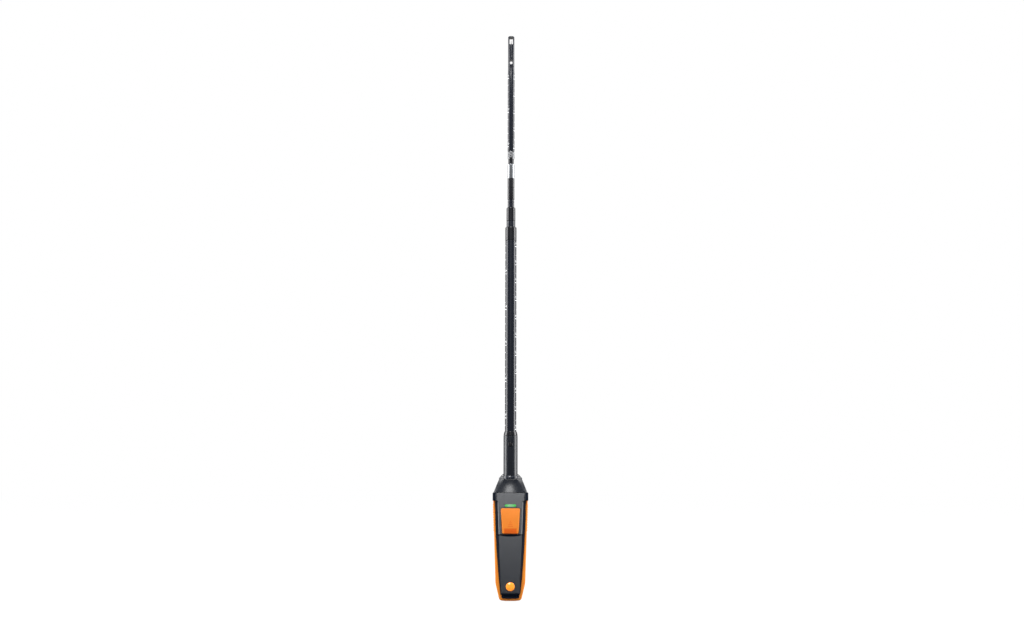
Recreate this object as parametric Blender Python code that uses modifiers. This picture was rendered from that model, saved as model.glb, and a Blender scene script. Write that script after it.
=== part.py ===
"""A telescopic hot-wire air-velocity probe with a battery handle, standing upright.

+Z runs along the shaft from the handle's bottom to the sensor head, and the front of the
handle, with its button, faces -Y. The origin is under the shaft's axis, at the bottom.
Sizes are written in millimetres and turned to metres as each mesh is made.
"""
import math

import bmesh
import bpy
from mathutils import Matrix, Vector

MM = 0.001
GAP = 0.3                 # running gap between neighbouring solids

# The handle, from its bottom up
HANDLE_TOP = 143.5        # top of the handle's collar
COLLAR_BOTTOM = 133.0
COLLAR_HALF = (24.1, 19.0)
PANEL_Y = -18.2           # the raised front panel round the button
GRIP_Y = -17.2            # the lower front panel
STEP_TOP, STEP_BOTTOM = 88.6, 85.2
SPLIT_Y = -6.0            # where the front and rear shells meet
BAND_Y = (-8.0, 5.0)      # the orange grip band runs between these planes
BACK_Y = 18.0
WALL = 2.0
SHELL_BOTTOM = 4.2
BUTTON_Z = (89.6, 122.9)
BUTTON_HALF = (10.9, 13.0)  # half width at its lower and upper end
BUTTON_FACE_Y = -19.0
LIGHT_Z, LIGHT_R, LIGHT_HALF = 126.5, 1.6, 7.6
BADGE_Z, BADGE_R, BADGE_DOME = 19.6, 5.9, 1.6
COVER_Z = (16.0, 84.0)
COVER_HALF = 12.4
SCREW_X = 14.8
SCREW_Z = (88.5, 129.5)
SIDES = ((-1, "l"), (1, "r"))

# The batteries: three AA cells in a triangle
CELL_R, CELL_LENGTH, CELL_NUB = 7.25, 49.5, 1.0
CELL_CENTRES = ((-7.4, 7.6), (0.0, -5.3), (7.4, 7.6))
CONTACT_Z = (22.2, 78.4)  # inner faces of the lower and upper contact plates

# The handle adapter: a cone and a sleeve that grips the telescope
CONE_BOTTOM, CONE_TOP = 144.0, 161.2
SLEEVE_R, SLEEVE_BORE = 9.7, 8.6
SLEEVE_Z = (161.6, 220.4)
RELEASE_Z, RELEASE_R = 208.7, 3.0
CAP_TOP = 226.3

# The telescope's stages: outer radius, inner radius, lower and upper end of each tube
STAGE_A = (7.8, 7.0, 180.0, 492.0)
STAGE_B = (6.15, 5.5, 266.3, 520.2)
STAGE_C = (4.55, 3.9, 306.3, 550.7)
COLLAR_A_TOP, COLLAR_B_TOP = 511.6, 539.6

# The head above the telescope
GRIP_TOP, FERRULE_TOP, NECK_TOP, NUT_TOP = 581.2, 601.8, 609.4, 620.3
TIP_Z = (744.8, 789.8)
TIP_R = 4.5
WINDOW_Z = (777.4, 787.8)
WINDOW_HALF = 2.4
VENT_Z = (747.7, 754.7)
VENT_HALF = 1.8

MATERIALS = {
    "black_abs": ((0.018, 0.021, 0.028), 0.38, 0.0),
    "charcoal_abs": ((0.055, 0.061, 0.075), 0.5, 0.0),
    "orange_tpe": ((0.90, 0.29, 0.035), 0.6, 0.0),
    "orange_abs": ((0.90, 0.28, 0.03), 0.42, 0.0),
    "green_light": ((0.12, 0.55, 0.15), 0.3, 0.0),
    "satin_black": ((0.03, 0.034, 0.043), 0.3, 0.0),
    "gloss_black": ((0.01, 0.011, 0.015), 0.15, 0.0),
    "chrome": ((0.85, 0.86, 0.88), 0.12, 1.0),
    "nickel": ((0.62, 0.60, 0.56), 0.3, 1.0),
    "steel": ((0.5, 0.51, 0.53), 0.35, 1.0),
    "rubber": ((0.015, 0.015, 0.016), 0.85, 0.0),
    "circuit_board": ((0.02, 0.16, 0.07), 0.5, 0.0),
    "acetal": ((0.55, 0.55, 0.53), 0.45, 0.0),
    "cell_jacket": ((0.10, 0.20, 0.33), 0.35, 0.0),
    "ceramic": ((0.75, 0.76, 0.78), 0.4, 0.0),
}


# --- the scene and small helpers -------------------------------------------------------

def clear_scene():
    for obj in list(bpy.data.objects):
        bpy.data.objects.remove(obj)


def collection(name):
    made = bpy.data.collections.new(name)
    bpy.context.scene.collection.children.link(made)
    return made


def material(name):
    found = bpy.data.materials.get(name)
    if found:
        return found
    colour, roughness, metallic = MATERIALS[name]
    made = bpy.data.materials.new(name)
    made.use_nodes = True
    shader = made.node_tree.nodes["Principled BSDF"]
    shader.inputs["Base Color"].default_value = (*colour, 1.0)
    shader.inputs["Roughness"].default_value = roughness
    shader.inputs["Metallic"].default_value = metallic
    return made


def add_mesh(name, bm, finish=None, smooth_deg=35):
    """Makes an object from a bmesh in millimetres. With no finish, it is a cutter."""
    bmesh.ops.recalc_face_normals(bm, faces=bm.faces)
    bmesh.ops.scale(bm, vec=(MM, MM, MM), verts=bm.verts)
    mesh = bpy.data.meshes.new(name)
    bm.to_mesh(mesh)
    bm.free()
    obj = bpy.data.objects.new(name, mesh)
    if finish:
        mesh.materials.append(material(finish))
        mesh.shade_smooth()
        mesh.set_sharp_from_angle(angle=math.radians(smooth_deg))
        PARTS.objects.link(obj)
    else:
        obj.hide_render = True
        obj.display_type = "WIRE"
        CUTTERS.objects.link(obj)
    return obj


def combine(obj, tool, operation):
    boolean = obj.modifiers.new(operation.lower() + "_" + tool.name, "BOOLEAN")
    boolean.operation = operation
    boolean.solver = "EXACT"
    boolean.object = tool
    return obj


def cut(obj, *tools):
    for tool in tools:
        combine(obj, tool, "DIFFERENCE")
    return obj


def join(obj, *tools):
    for tool in tools:
        combine(obj, tool, "UNION")
    return obj


# --- shapes ----------------------------------------------------------------------------

def turned(name, profile, finish=None, centre=(0, 0), steps=28):
    """A ring or solid turned about a vertical axis.

    The profile is (radius, height) points. It runs down the outer side from top to bottom;
    a ring's then runs up the inner side, and a solid's starts and ends on the axis.
    """
    bm = bmesh.new()
    verts = [bm.verts.new((r, 0, z)) for r, z in profile]
    for first, second in zip(verts, verts[1:]):
        bm.edges.new((first, second))
    if profile[0][0] > 0:
        bm.edges.new((verts[-1], verts[0]))
    bmesh.ops.scale(bm, vec=(MM, MM, MM), verts=bm.verts)
    mesh = bpy.data.meshes.new(name)
    bm.to_mesh(mesh)
    bm.free()
    obj = bpy.data.objects.new(name, mesh)
    obj.location = (centre[0] * MM, centre[1] * MM, 0)
    screw = obj.modifiers.new("turn", "SCREW")
    screw.axis = "Z"
    screw.steps = steps
    screw.render_steps = steps
    screw.use_merge_vertices = True
    screw.merge_threshold = 0.00001
    screw.use_smooth_shade = True
    if finish:
        mesh.materials.append(material(finish))
        PARTS.objects.link(obj)
    else:
        obj.hide_render = True
        obj.display_type = "WIRE"
        CUTTERS.objects.link(obj)
    return obj


def ring_profile(outer, inner, bottom, top, ease=0.3):
    """A plain sleeve with its outer edges eased."""
    return [(outer - ease, top), (outer, top - ease), (outer, bottom + ease),
            (outer - ease, bottom), (inner, bottom), (inner, top)]


def rod_profile(radius, bottom, top, ease=0.3):
    return [(0, top), (radius - ease, top), (radius, top - ease),
            (radius, bottom + ease), (radius - ease, bottom), (0, bottom)]


def rod_y(name, centre, radius, y_front, y_back, finish=None, ease=0.0, sides=24):
    """A cylinder lying along Y at (x, z), its front edge eased."""
    bm = bmesh.new()
    length = y_back - y_front
    turn = Matrix.Rotation(math.radians(90), 4, "X")
    place = Matrix.Translation((centre[0], (y_front + y_back) / 2, centre[1]))
    bmesh.ops.create_cone(bm, cap_ends=True, segments=sides, radius1=radius, radius2=radius,
                          depth=length, matrix=place @ turn)
    if ease:
        rim = [e for e in bm.edges if all(v.co.y < y_front + 0.01 for v in e.verts)]
        bmesh.ops.bevel(bm, geom=rim, offset=ease, segments=2, profile=0.5, affect="EDGES")
    return add_mesh(name, bm, finish)


def box(name, low, high, finish=None, ease=0.0, segments=2):
    bm = bmesh.new()
    size = Vector(high) - Vector(low)
    middle = (Vector(high) + Vector(low)) / 2
    bmesh.ops.create_cube(bm, size=1.0)
    bmesh.ops.scale(bm, vec=size, verts=bm.verts)
    bmesh.ops.translate(bm, vec=middle, verts=bm.verts)
    if ease:
        bmesh.ops.bevel(bm, geom=bm.edges[:], offset=ease, segments=segments, profile=0.5,
                        affect="EDGES")
    return add_mesh(name, bm, finish)


def prism(name, outline, low, high, finish=None, axis="Y", ease=0.0, segments=1, both=True):
    """An outline pushed along an axis. The outline is (x, z) for Y and (x, y) for Z.

    The edges of its far end, or of both ends, can be eased.
    """
    bm = bmesh.new()
    if axis == "Y":
        verts = [bm.verts.new((a, low, b)) for a, b in outline]
        move = Vector((0, high - low, 0))
    else:
        verts = [bm.verts.new((a, b, low)) for a, b in outline]
        move = Vector((0, 0, high - low))
    face = bm.faces.new(verts)
    pushed = bmesh.ops.extrude_face_region(bm, geom=[face])
    moved = [v for v in pushed["geom"] if isinstance(v, bmesh.types.BMVert)]
    bmesh.ops.translate(bm, vec=move, verts=moved)
    if ease:
        index = 1 if axis == "Y" else 2
        ends = (low, high) if both else (high,)
        rims = [e for e in bm.edges for end in ends
                if all(abs(v.co[index] - end) < 0.001 for v in e.verts)]
        bmesh.ops.bevel(bm, geom=rims, offset=ease, segments=segments, profile=0.5,
                        affect="EDGES")
    return add_mesh(name, bm, finish)


def loft(name, sections, finish=None):
    """A skin through closed sections with the same number of points, capped at both ends."""
    bm = bmesh.new()
    rings = [[bm.verts.new(point) for point in section] for section in sections]
    for lower, upper in zip(rings, rings[1:]):
        count = len(lower)
        for i in range(count):
            j = (i + 1) % count
            bm.faces.new((lower[i], lower[j], upper[j], upper[i]))
    bm.faces.new(reversed(rings[0]))
    bm.faces.new(rings[-1])
    return add_mesh(name, bm, finish)


def mirrored(points):
    """Closes a right-hand half outline, listed top to bottom, with its mirror image."""
    left = [(-a, b) for a, b in reversed(points) if a > 1e-6]
    return points + left


def rounded(points, radii, steps=5):
    """Replaces each inner corner of an open polyline with an arc of the given radius."""
    out = [points[0]]
    for before, corner, after, radius in zip(points, points[1:], points[2:], radii):
        here = Vector(corner)
        to_before = (Vector(before) - here).normalized()
        to_after = (Vector(after) - here).normalized()
        half_angle = to_before.angle(to_after) / 2
        centre = here + (to_before + to_after).normalized() * radius / math.sin(half_angle)
        reach = radius / math.tan(half_angle)
        start = here + to_before * reach - centre
        end = here + to_after * reach - centre
        for i in range(steps + 1):
            spoke = start.slerp(end, i / steps)
            out.append(tuple(centre + spoke.normalized() * radius))
    out.append(points[-1])
    return out


def rectangle(half, bottom, top):
    return [(-half, bottom), (half, bottom), (half, top), (-half, top)]


# --- the handle's outlines, seen from the front ----------------------------------------

def front_half_width(z):
    """The dark front shell narrows along one long arc towards the bottom."""
    drop = 130.0 - z
    return 20.5 - 0.0125 * drop - 0.00041 * drop * drop


def panel_half_width(z):
    """The flat front panel narrows in a straight line."""
    return 17.5 - 0.057 * (130.0 - z)


def band_outline(inset, top):
    """The right half of the handle's outline, moved in by an inset, top to bottom."""
    points = [(23.5 - inset, top), (20.1 - inset, 23.0 + 0.4 * inset),
              (14.6 - inset, 0.8 + inset), (6.0 - 0.35 * inset, inset)]
    return rounded(points, (40.0, max(4.5 - inset, 1.0))) + [(0.0, inset)]


def front_outline(outset, top):
    """The right half of the front shell's outline, grown by an outset, top to bottom."""
    floor = SHELL_BOTTOM - outset
    radius = 4.0 + outset
    points = []
    stations = 9
    for i in range(stations):
        z = top + (floor + radius - top) * i / (stations - 1)
        points.append((front_half_width(z) + outset, z))
    width = points[-1][0]
    for i in range(1, 6):
        angle = math.radians(90 * i / 5)
        points.append((width - radius + radius * math.cos(angle),
                       floor + radius - radius * math.sin(angle)))
    points.append((0.0, floor))
    return points


def panel_depth(z):
    """How far forward the panel stands: raised round the button, with a scooped step."""
    if z >= STEP_TOP:
        return PANEL_Y
    if z <= STEP_BOTTOM:
        return GRIP_Y
    across = (z - STEP_BOTTOM) / (STEP_TOP - STEP_BOTTOM)
    straight = GRIP_Y + (PANEL_Y - GRIP_Y) * across
    return straight + 0.9 * math.sin(math.pi * across) ** 0.5


def front_section(z, inset, back):
    """One level of the front shell: a flat panel, sloping cheeks and short straight sides."""
    floor = SHELL_BOTTOM + inset
    radius = 4.0
    side = front_half_width(max(z, floor + radius)) - inset
    panel = panel_half_width(z) - 0.6 * inset
    front = panel_depth(z) + inset
    if z < floor + radius:
        rise = radius - (z - floor)
        tuck = radius - math.sqrt(max(radius * radius - rise * rise, 0.0))
        side -= tuck
        panel -= 0.5 * tuck
        front += 0.6 * tuck
    cheek = front + 5.5
    half = [(panel, front), (side, cheek), (side, back)]
    ring = [(-x, y) for x, y in reversed(half)] + half
    return [(x, y, z) for x, y in ring]


def front_levels(inset, top):
    floor = SHELL_BOTTOM + inset
    corner = [floor + 4.0 * (1 - math.cos(math.radians(a))) for a in (0, 25, 50, 70, 90)]
    step = [STEP_BOTTOM + (STEP_TOP - STEP_BOTTOM) * i / 6 for i in range(7)]
    return corner + [25, 42, 62, 78] + step + [104, 122, COLLAR_BOTTOM, top]


def button_outline(grow):
    """The button's trapezoid with rounded corners, grown by a gap."""
    (low, high), (narrow, wide) = BUTTON_Z, BUTTON_HALF
    points = [(0, high + grow), (wide + grow, high + grow), (narrow + grow, low - grow),
              (0, low - grow)]
    return mirrored(rounded(points, (1.4 + grow, 1.4 + grow), steps=3))


def screw_places():
    """The four housing screws: x, z and a label for each."""
    return [(side * SCREW_X, z, f"{letter}_{z:.0f}") for side, letter in SIDES for z in SCREW_Z]


# --- the handle's shells ---------------------------------------------------------------

def make_front_shell():
    outer = [front_section(z, 0.0, SPLIT_Y) for z in front_levels(0.0, HANDLE_TOP)]
    shell = loft("front_shell", outer, "charcoal_abs")
    inner = [front_section(z, WALL, SPLIT_Y + 3) for z in front_levels(WALL, HANDLE_TOP + 3)]
    cut(shell, loft("front_hollow", inner))
    for x, z, label in screw_places():
        join(shell, rod_y(f"boss_{label}", (x, z), 2.4, -15.2, 11.0, sides=16))
        cut(shell, rod_y(f"boss_hole_{label}", (x, z), 1.65, -8, 17, sides=16))
    cut(shell, prism("button_opening", button_outline(0.5), -20, -14))
    cut(shell, prism("light_opening", light_outline(GAP), -20, -14))
    cut(shell, rod_y("badge_recess", (0, BADGE_Z), BADGE_R + 0.9, -19, GRIP_Y + 1.0, sides=32))


def light_outline(grow):
    """A long bar with round ends for the status light."""
    radius = LIGHT_R + grow
    reach = LIGHT_HALF - LIGHT_R
    right = []
    for degrees in range(0, 181, 20):
        angle = math.radians(degrees)
        right.append((reach + radius * math.sin(angle), LIGHT_Z + radius * math.cos(angle)))
    return right + [(-x, z) for x, z in reversed(right)]


def make_grip_band():
    """A soft orange band round the sides and the bottom, with a lip behind the front shell."""
    top = COLLAR_BOTTOM - GAP
    band = prism("grip_band", mirrored(band_outline(0.0, top)), *BAND_Y, "orange_tpe",
                 ease=1.2, segments=3)
    front_hole = mirrored(front_outline(GAP, top + 5))
    rim_hole = mirrored(band_outline(2.4, top + 5))
    cut(band, prism("band_front_hole", front_hole, -10, SPLIT_Y + 0.1))
    cut(band, prism("band_rim_hole", rim_hole, SPLIT_Y, 8))
    for i in range(8):
        z = 92.0 + 5.0 * i
        for side, letter in SIDES:
            x = side * (23.5 - (COLLAR_BOTTOM - z) * 0.031)
            low = (x - 0.45, BAND_Y[0] - 1, z - 0.6)
            high = (x + 0.45, BAND_Y[1] + 1, z + 0.6)
            cut(band, box(f"grip_groove_{i}_{letter}", low, high))


def rounded_back(name, inset, planes, radius, top, finish=None):
    """The handle's outline pushed from one Y plane to another, its far edge rounded."""
    front, back = planes
    sections = [(front, inset)]
    for angle in (0, 22.5, 45, 67.5, 90):
        turn = math.radians(angle)
        level = back - radius + radius * math.sin(turn)
        sections.append((level, inset + radius * (1 - math.cos(turn))))
    rings = []
    for y, grown in sections:
        rings.append([(x, y, z) for x, z in mirrored(band_outline(grown, top))])
    return loft(name, rings, finish)


def make_rear_shell():
    """The rear shell, with a rim that reaches forward inside the grip band."""
    top = COLLAR_BOTTOM - GAP
    front = SPLIT_Y + GAP
    shell = rounded_back("rear_shell", 1.0, (BAND_Y[1] + GAP, BACK_Y), 5.0, top, "black_abs")
    neck = prism("rear_neck", rectangle(19.6, 120, HANDLE_TOP), front, 15.0, ease=4.0,
                 segments=3, both=False)
    rim = prism("rear_rim", mirrored(band_outline(2.7, top)), front, 8)
    join(shell, rim, neck)
    hollow = rounded_back("rear_hollow", 4.4, (SPLIT_Y - 2, BACK_Y - WALL), 3.5, top + 1.3)
    neck_hollow = prism("neck_hollow", rectangle(17.8, 118, HANDLE_TOP + 3), SPLIT_Y - 2, 13.2,
                        ease=2.5, segments=2, both=False)
    cut(shell, hollow, neck_hollow)
    low, high = COVER_Z
    cut(shell, box("cover_opening", (-COVER_HALF - GAP, 12, low - GAP),
                   (COVER_HALF + GAP, 22, high + GAP)))
    for x, z, label in screw_places():
        cut(shell, rod_y(f"screw_sink_{label}", (x, z), 3.0, 16.4, 22, sides=20))
        cut(shell, rod_y(f"screw_hole_{label}", (x, z), 1.7, 10, 20, sides=16))


def make_top_collar():
    """The collar round the handle's top. It is open at the front, where the panel runs up."""
    half_x, half_y = COLLAR_HALF
    outside = rounded([(0, half_y), (half_x, half_y), (half_x, -16.0), (18.6, -17.9)],
                      (6.0, 2.2), steps=4)
    inside = [(21.2, -12.0), (21.2, 12.5), (18.0, 15.4), (0, 15.4)]
    half = outside + inside
    outline = half + [(-x, y) for x, y in reversed(half[1:-1])]
    prism("top_collar", outline, COLLAR_BOTTOM, HANDLE_TOP, "black_abs", axis="Z",
          ease=0.8, segments=2)


def make_battery_cover():
    low, high = COVER_Z
    cover = box("battery_cover", (-COVER_HALF, 15.9, low), (COVER_HALF, BACK_Y, high),
                "black_abs", ease=0.4)
    for i in range(5):
        z = high - 6.0 - 2.4 * i
        groove_low = (-6.5, BACK_Y - 0.5, z - 0.6)
        cut(cover, box(f"thumb_groove_{i}", groove_low, (6.5, BACK_Y + 1, z + 0.6)))


def make_measure_button():
    """The orange key: a face that rises slightly, a steep lower slope and a flange inside."""
    low, high = BUTTON_Z
    key = prism("measure_button", button_outline(0.0), -15.2, BUTTON_FACE_Y, "orange_abs",
                ease=0.6, segments=2, both=False)
    slope = [(BUTTON_FACE_Y - 1, low + 6.8), (BUTTON_FACE_Y, low + 6.8),
             (BUTTON_FACE_Y + 1.5, low - 1.0), (BUTTON_FACE_Y - 1, low - 1.0)]
    cut(key, side_prism("button_slope", slope, -9.6, 9.6))
    join(key, prism("button_flange", button_outline(1.2), -15.9, -15.0))


def side_prism(name, outline, low, high, finish=None):
    """An outline in (y, z) pushed along X."""
    bm = bmesh.new()
    verts = [bm.verts.new((low, a, b)) for a, b in outline]
    face = bm.faces.new(verts)
    pushed = bmesh.ops.extrude_face_region(bm, geom=[face])
    moved = [v for v in pushed["geom"] if isinstance(v, bmesh.types.BMVert)]
    bmesh.ops.translate(bm, vec=(high - low, 0, 0), verts=moved)
    return add_mesh(name, bm, finish)


# --- inside the handle -----------------------------------------------------------------

def make_electronics():
    box("main_board", (-11.5, -11.6, 86.5), (11.5, -10.0, 131.5), "circuit_board")
    box("key_switch", (-3, -13.3, 103), (3, -11.9, 109), "steel", ease=0.25)
    box("status_led", (-1.6, -13.0, LIGHT_Z - 0.9), (1.6, -11.9, LIGHT_Z + 0.9), "acetal",
        ease=0.15)
    box("radio_module", (-8, -9.7, 98), (8, -7.3, 118), "nickel", ease=0.3)
    prism("status_light", light_outline(0.0), -13.4, PANEL_Y - 0.1, "green_light",
          ease=0.35, segments=2, both=False)
    gasket = prism("button_gasket", button_outline(1.1), -13.5, -13.0, "rubber")
    cut(gasket, prism("gasket_hole", button_outline(-2.2), -15, -12))


def make_badge():
    """A domed disc in the round recess near the handle's bottom."""
    profile = [(0, BADGE_DOME)]
    for degrees in (75, 60, 40, 20, 0):
        angle = math.radians(degrees)
        profile.append((BADGE_R * math.cos(angle), BADGE_DOME * math.sin(angle)))
    profile += [(BADGE_R, -0.5), (0, -0.5)]
    badge = turned("badge", profile, "orange_abs", steps=32)
    badge.rotation_euler = (math.radians(90), 0, 0)
    badge.location = (0, (GRIP_Y + 0.2) * MM, BADGE_Z * MM)


def make_battery(index, centre, nub_up):
    """An AA cell with its positive nub up or down, and the spring at its flat end."""
    low, high = CONTACT_Z
    bottom = (high - GAP - CELL_NUB - CELL_LENGTH) if nub_up else (low + GAP + CELL_NUB)
    top = bottom + CELL_LENGTH
    nub = 2.6
    can = [(CELL_R - 0.6, top), (CELL_R, top - 0.6), (CELL_R, bottom + 0.6), (CELL_R - 0.6, bottom)]
    if nub_up:
        profile = [(0, top + CELL_NUB), (nub, top + CELL_NUB), (nub, top)] + can + [(0, bottom)]
        spring_ends = (low + 0.8, bottom - 0.8)
    else:
        end = bottom - CELL_NUB
        profile = [(0, top)] + can + [(nub, bottom), (nub, end), (0, end)]
        spring_ends = (top + 0.8, high - 0.8)
    turned(f"battery_{index}", profile, "cell_jacket", centre, steps=20)
    make_spring(f"battery_spring_{index}", centre, *spring_ends, 3.6, 0.35, 3)


def make_spring(name, centre, bottom, top, radius, wire, turns):
    """A coil of round wire, drawn as a fine polyline with a bevel and closed ends."""
    per_turn = 10
    count = turns * per_turn + 1
    curve = bpy.data.curves.new(name, "CURVE")
    curve.dimensions = "3D"
    curve.bevel_depth = wire * MM
    curve.bevel_resolution = 1
    curve.use_fill_caps = True
    spline = curve.splines.new("POLY")
    spline.points.add(count - 1)
    for i in range(count):
        angle = 2 * math.pi * i / per_turn
        z = bottom + (top - bottom) * i / (count - 1)
        x = centre[0] + radius * math.cos(angle)
        y = centre[1] + radius * math.sin(angle)
        spline.points[i].co = (x * MM, y * MM, z * MM, 1)
    curve.materials.append(material("steel"))
    PARTS.objects.link(bpy.data.objects.new(name, curve))


def make_battery_tray():
    """A carrier with an end wall at each end, joined by two side rails."""
    low, high = CONTACT_Z
    tray = box("battery_tray", (-11.8, -10.6, low - 2.3), (11.8, 13.4, low - 0.9), "acetal")
    join(tray, box("tray_upper_wall", (-11.8, -10.6, high + 0.9), (11.8, 13.4, high + 2.3)))
    for x, letter in ((-11.6, "l"), (10.2, "r")):
        rail_low = (x, -9.4, low - 2.0)
        join(tray, box(f"tray_rail_{letter}", rail_low, (x + 1.4, -3.4, high + 2.0)))
    half = [(0, 13.0), (11.4, 13.0), (11.4, -3.1), (9.9, -3.1), (9.9, -10.2), (0, -10.2)]
    plate = mirrored(half)
    prism("contact_plate_lower", plate, low - 0.6, low, "nickel", axis="Z")
    prism("contact_plate_upper", plate, high, high + 0.6, "nickel", axis="Z")


def make_housing_screw(name, x, z):
    """A countersunk screw from the back, through the rear shell into the front shell's boss."""
    head = rod_y(name, (x, z), 2.6, 16.7, 17.4, "steel", sides=20)
    join(head, rod_y(name + "_shank", (x, z), 1.35, -2.0, 17.0, sides=14))
    cut(head, box(name + "_slot_x", (x - 1.5, 17.1, z - 0.3), (x + 1.5, 19, z + 0.3)))
    cut(head, box(name + "_slot_z", (x - 0.3, 17.1, z - 1.5), (x + 0.3, 19, z + 1.5)))


def make_socket_block():
    """Closes the handle's top and takes the adapter's plug."""
    block = box("socket_block", (-16.6, -13.4, 134.4), (16.6, 12.6, HANDLE_TOP), "black_abs",
                ease=1.0)
    cut(block, turned("socket_pocket", rod_profile(8.4, 137.0, HANDLE_TOP + 4, ease=0)))


# --- the handle adapter ----------------------------------------------------------------

def cone_section(z, inset):
    """One level of the adapter's cone: a flat front and back between two thinner wings."""
    t = (z - CONE_BOTTOM) / (CONE_TOP - CONE_BOTTOM)
    wing = 22.8 - 7.15 * t - inset
    wing_depth = 10.5 - 3.5 * t - 0.5 * inset
    flat = 13.0 - 8.4 * t - 0.4 * inset
    depth = 10.6 + 7.2 * (1.0 - t) ** 1.55 - inset
    rim = wing - 2.6 + 0.3 * inset
    quarter = [(flat, depth), (rim, wing_depth), (wing, wing_depth - 0.8)]
    front = [(-x, -y) for x, y in reversed(quarter)] + [(x, -y) for x, y in quarter]
    back = [(x, y) for x, y in reversed(quarter)] + [(-x, y) for x, y in quarter]
    return [(x, y, z) for x, y in front + back]


def make_adapter_cone():
    levels = [CONE_BOTTOM + (CONE_TOP - CONE_BOTTOM) * i / 8 for i in range(9)]
    cone = loft("adapter_cone", [cone_section(z, 0.0) for z in levels], "satin_black")
    shoulder = [(0, 168.4), (10.0, 168.4), (14.6, 164.2), (15.65, 162.6), (15.65, 158.0),
                (0, 158.0)]
    join(cone, prism("cone_shoulder", mirrored(shoulder), -6.6, 6.6, ease=0.7, segments=2))
    hollow_levels = [CONE_BOTTOM - 2 + (157.0 - CONE_BOTTOM + 2) * i / 6 for i in range(7)]
    cut(cone, loft("cone_hollow", [cone_section(z, 2.2) for z in hollow_levels]))
    cut(cone, turned("cone_bore", rod_profile(10.0, 160.2, 175, ease=0), steps=32))
    cut(cone, turned("ring_recess", rod_profile(11.2, 161.2, 164.6, ease=0), steps=32))
    cut(cone, turned("cone_wire_hole", rod_profile(4.0, 150, 165, ease=0), steps=20))


def make_adapter():
    """The plug that goes into the handle, and the sleeve, cap and socket above the cone."""
    plug = [(0, 147.2), (10.4, 147.2), (10.4, 144.6), (7.9, 144.3), (7.9, 142.4), (6.9, 142.2),
            (6.9, 140.4), (7.9, 140.2), (7.9, 138.0), (7.5, 137.6), (0, 137.6)]
    turned("adapter_plug", plug, "gloss_black", steps=20)
    turned("adapter_seal", round_ring_profile(7.65, 141.3, 0.6), "rubber", steps=20)
    bead = round_ring_profile(10.35, 162.9, 0.55, stretch=2.4)
    turned("neck_ring", bead, "satin_black", steps=32)
    sleeve = turned("adapter_sleeve", ring_profile(SLEEVE_R, SLEEVE_BORE, *SLEEVE_Z),
                    "satin_black", steps=32)
    cut(sleeve, rod_y("release_opening", (0, RELEASE_Z), RELEASE_R + GAP, -12, -5))
    cap = [(8.2, CAP_TOP), (8.5, CAP_TOP - 0.3), (SLEEVE_R, 221.4), (SLEEVE_R, 220.7),
           (8.0, 220.7), (8.0, CAP_TOP)]
    turned("sleeve_cap", cap, "gloss_black", steps=32)
    socket = [(0, 171.9), (3.9, 171.9), (3.9, 172.3), (8.2, 172.3), (8.3, 172.2),
              (8.3, 162.2), (8.2, 162.1), (0, 162.1)]
    turned("probe_socket", socket, "gloss_black", steps=20)
    rod_y("release_button", (0, RELEASE_Z), RELEASE_R, -SLEEVE_R - 0.35, -SLEEVE_BORE - 0.2,
          "gloss_black", ease=0.3)


def round_ring_profile(radius, height, wire, stretch=1.0, points=8):
    """The section of an O-ring or a rounded bead, from its top down its outer side."""
    profile = []
    for i in range(points):
        angle = math.radians(90 - 360 * i / points)
        profile.append((radius + wire * math.cos(angle), height + wire * stretch * math.sin(angle)))
    return profile


# --- the telescope ---------------------------------------------------------------------

def collar_profile(outer, inner, bottom, top, round_radius=1.4):
    """A stage's end collar with a rounded top edge."""
    profile = [(inner, top)]
    for i in range(4):
        angle = math.radians(90 - 30 * i)
        profile.append((outer - round_radius + round_radius * math.cos(angle),
                        top - round_radius + round_radius * math.sin(angle)))
    return profile + [(outer, bottom), (inner, bottom)]


def make_telescope():
    for name, (outer, inner, bottom, top) in (("tube_a", STAGE_A), ("tube_b", STAGE_B)):
        turned(name, ring_profile(outer, inner, bottom, top, ease=0.1), "satin_black", steps=32)
    outer, inner, bottom, top = STAGE_C
    ridges = [(outer - 0.3, top), (outer - 0.3, top - 1.6), (outer, top - 1.7), (outer, top - 4.2),
              (outer - 0.25, top - 4.4), (outer - 0.25, top - 5.2), (outer, top - 5.4),
              (outer, bottom), (inner, bottom), (inner, top)]
    turned("tube_c", ridges, "satin_black", steps=32)
    plug = [(0, 190.0), (6.7, 190.0), (6.7, 179.7), (7.5, 179.7), (7.5, 174.0), (7.2, 173.6),
            (0, 173.6)]
    turned("telescope_plug", plug, "gloss_black", steps=20)
    end_a = collar_profile(7.9, 6.4, STAGE_A[3] + GAP, COLLAR_A_TOP)
    end_b = collar_profile(6.25, 4.85, STAGE_B[3] + GAP, COLLAR_B_TOP)
    turned("collar_a", end_a, "gloss_black", steps=32)
    turned("collar_b", end_b, "gloss_black", steps=32)
    turned("bush_a", ring_profile(6.75, 6.4, 467.0, 490.0, ease=0.05), "acetal", steps=20)
    turned("bush_b", ring_profile(5.3, 4.8, 507.0, 519.0, ease=0.05), "acetal", steps=20)
    turned("guide_ring_b", ring_profile(6.75, 5.3, 258.0, 266.0), "acetal", steps=20)
    turned("guide_ring_c", ring_profile(5.2, 3.6, 298.0, 306.0), "acetal", steps=20)
    turned("lead_coil_a", ring_profile(4.6, 3.4, 190.4, 257.6), "rubber", steps=20)
    turned("lead_coil_b", ring_profile(3.3, 2.3, 266.4, 297.6), "rubber", steps=20)
    turned("sensor_lead", rod_profile(1.4, 299.0, 744.0), "rubber", steps=12)


# --- the head --------------------------------------------------------------------------

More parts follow.
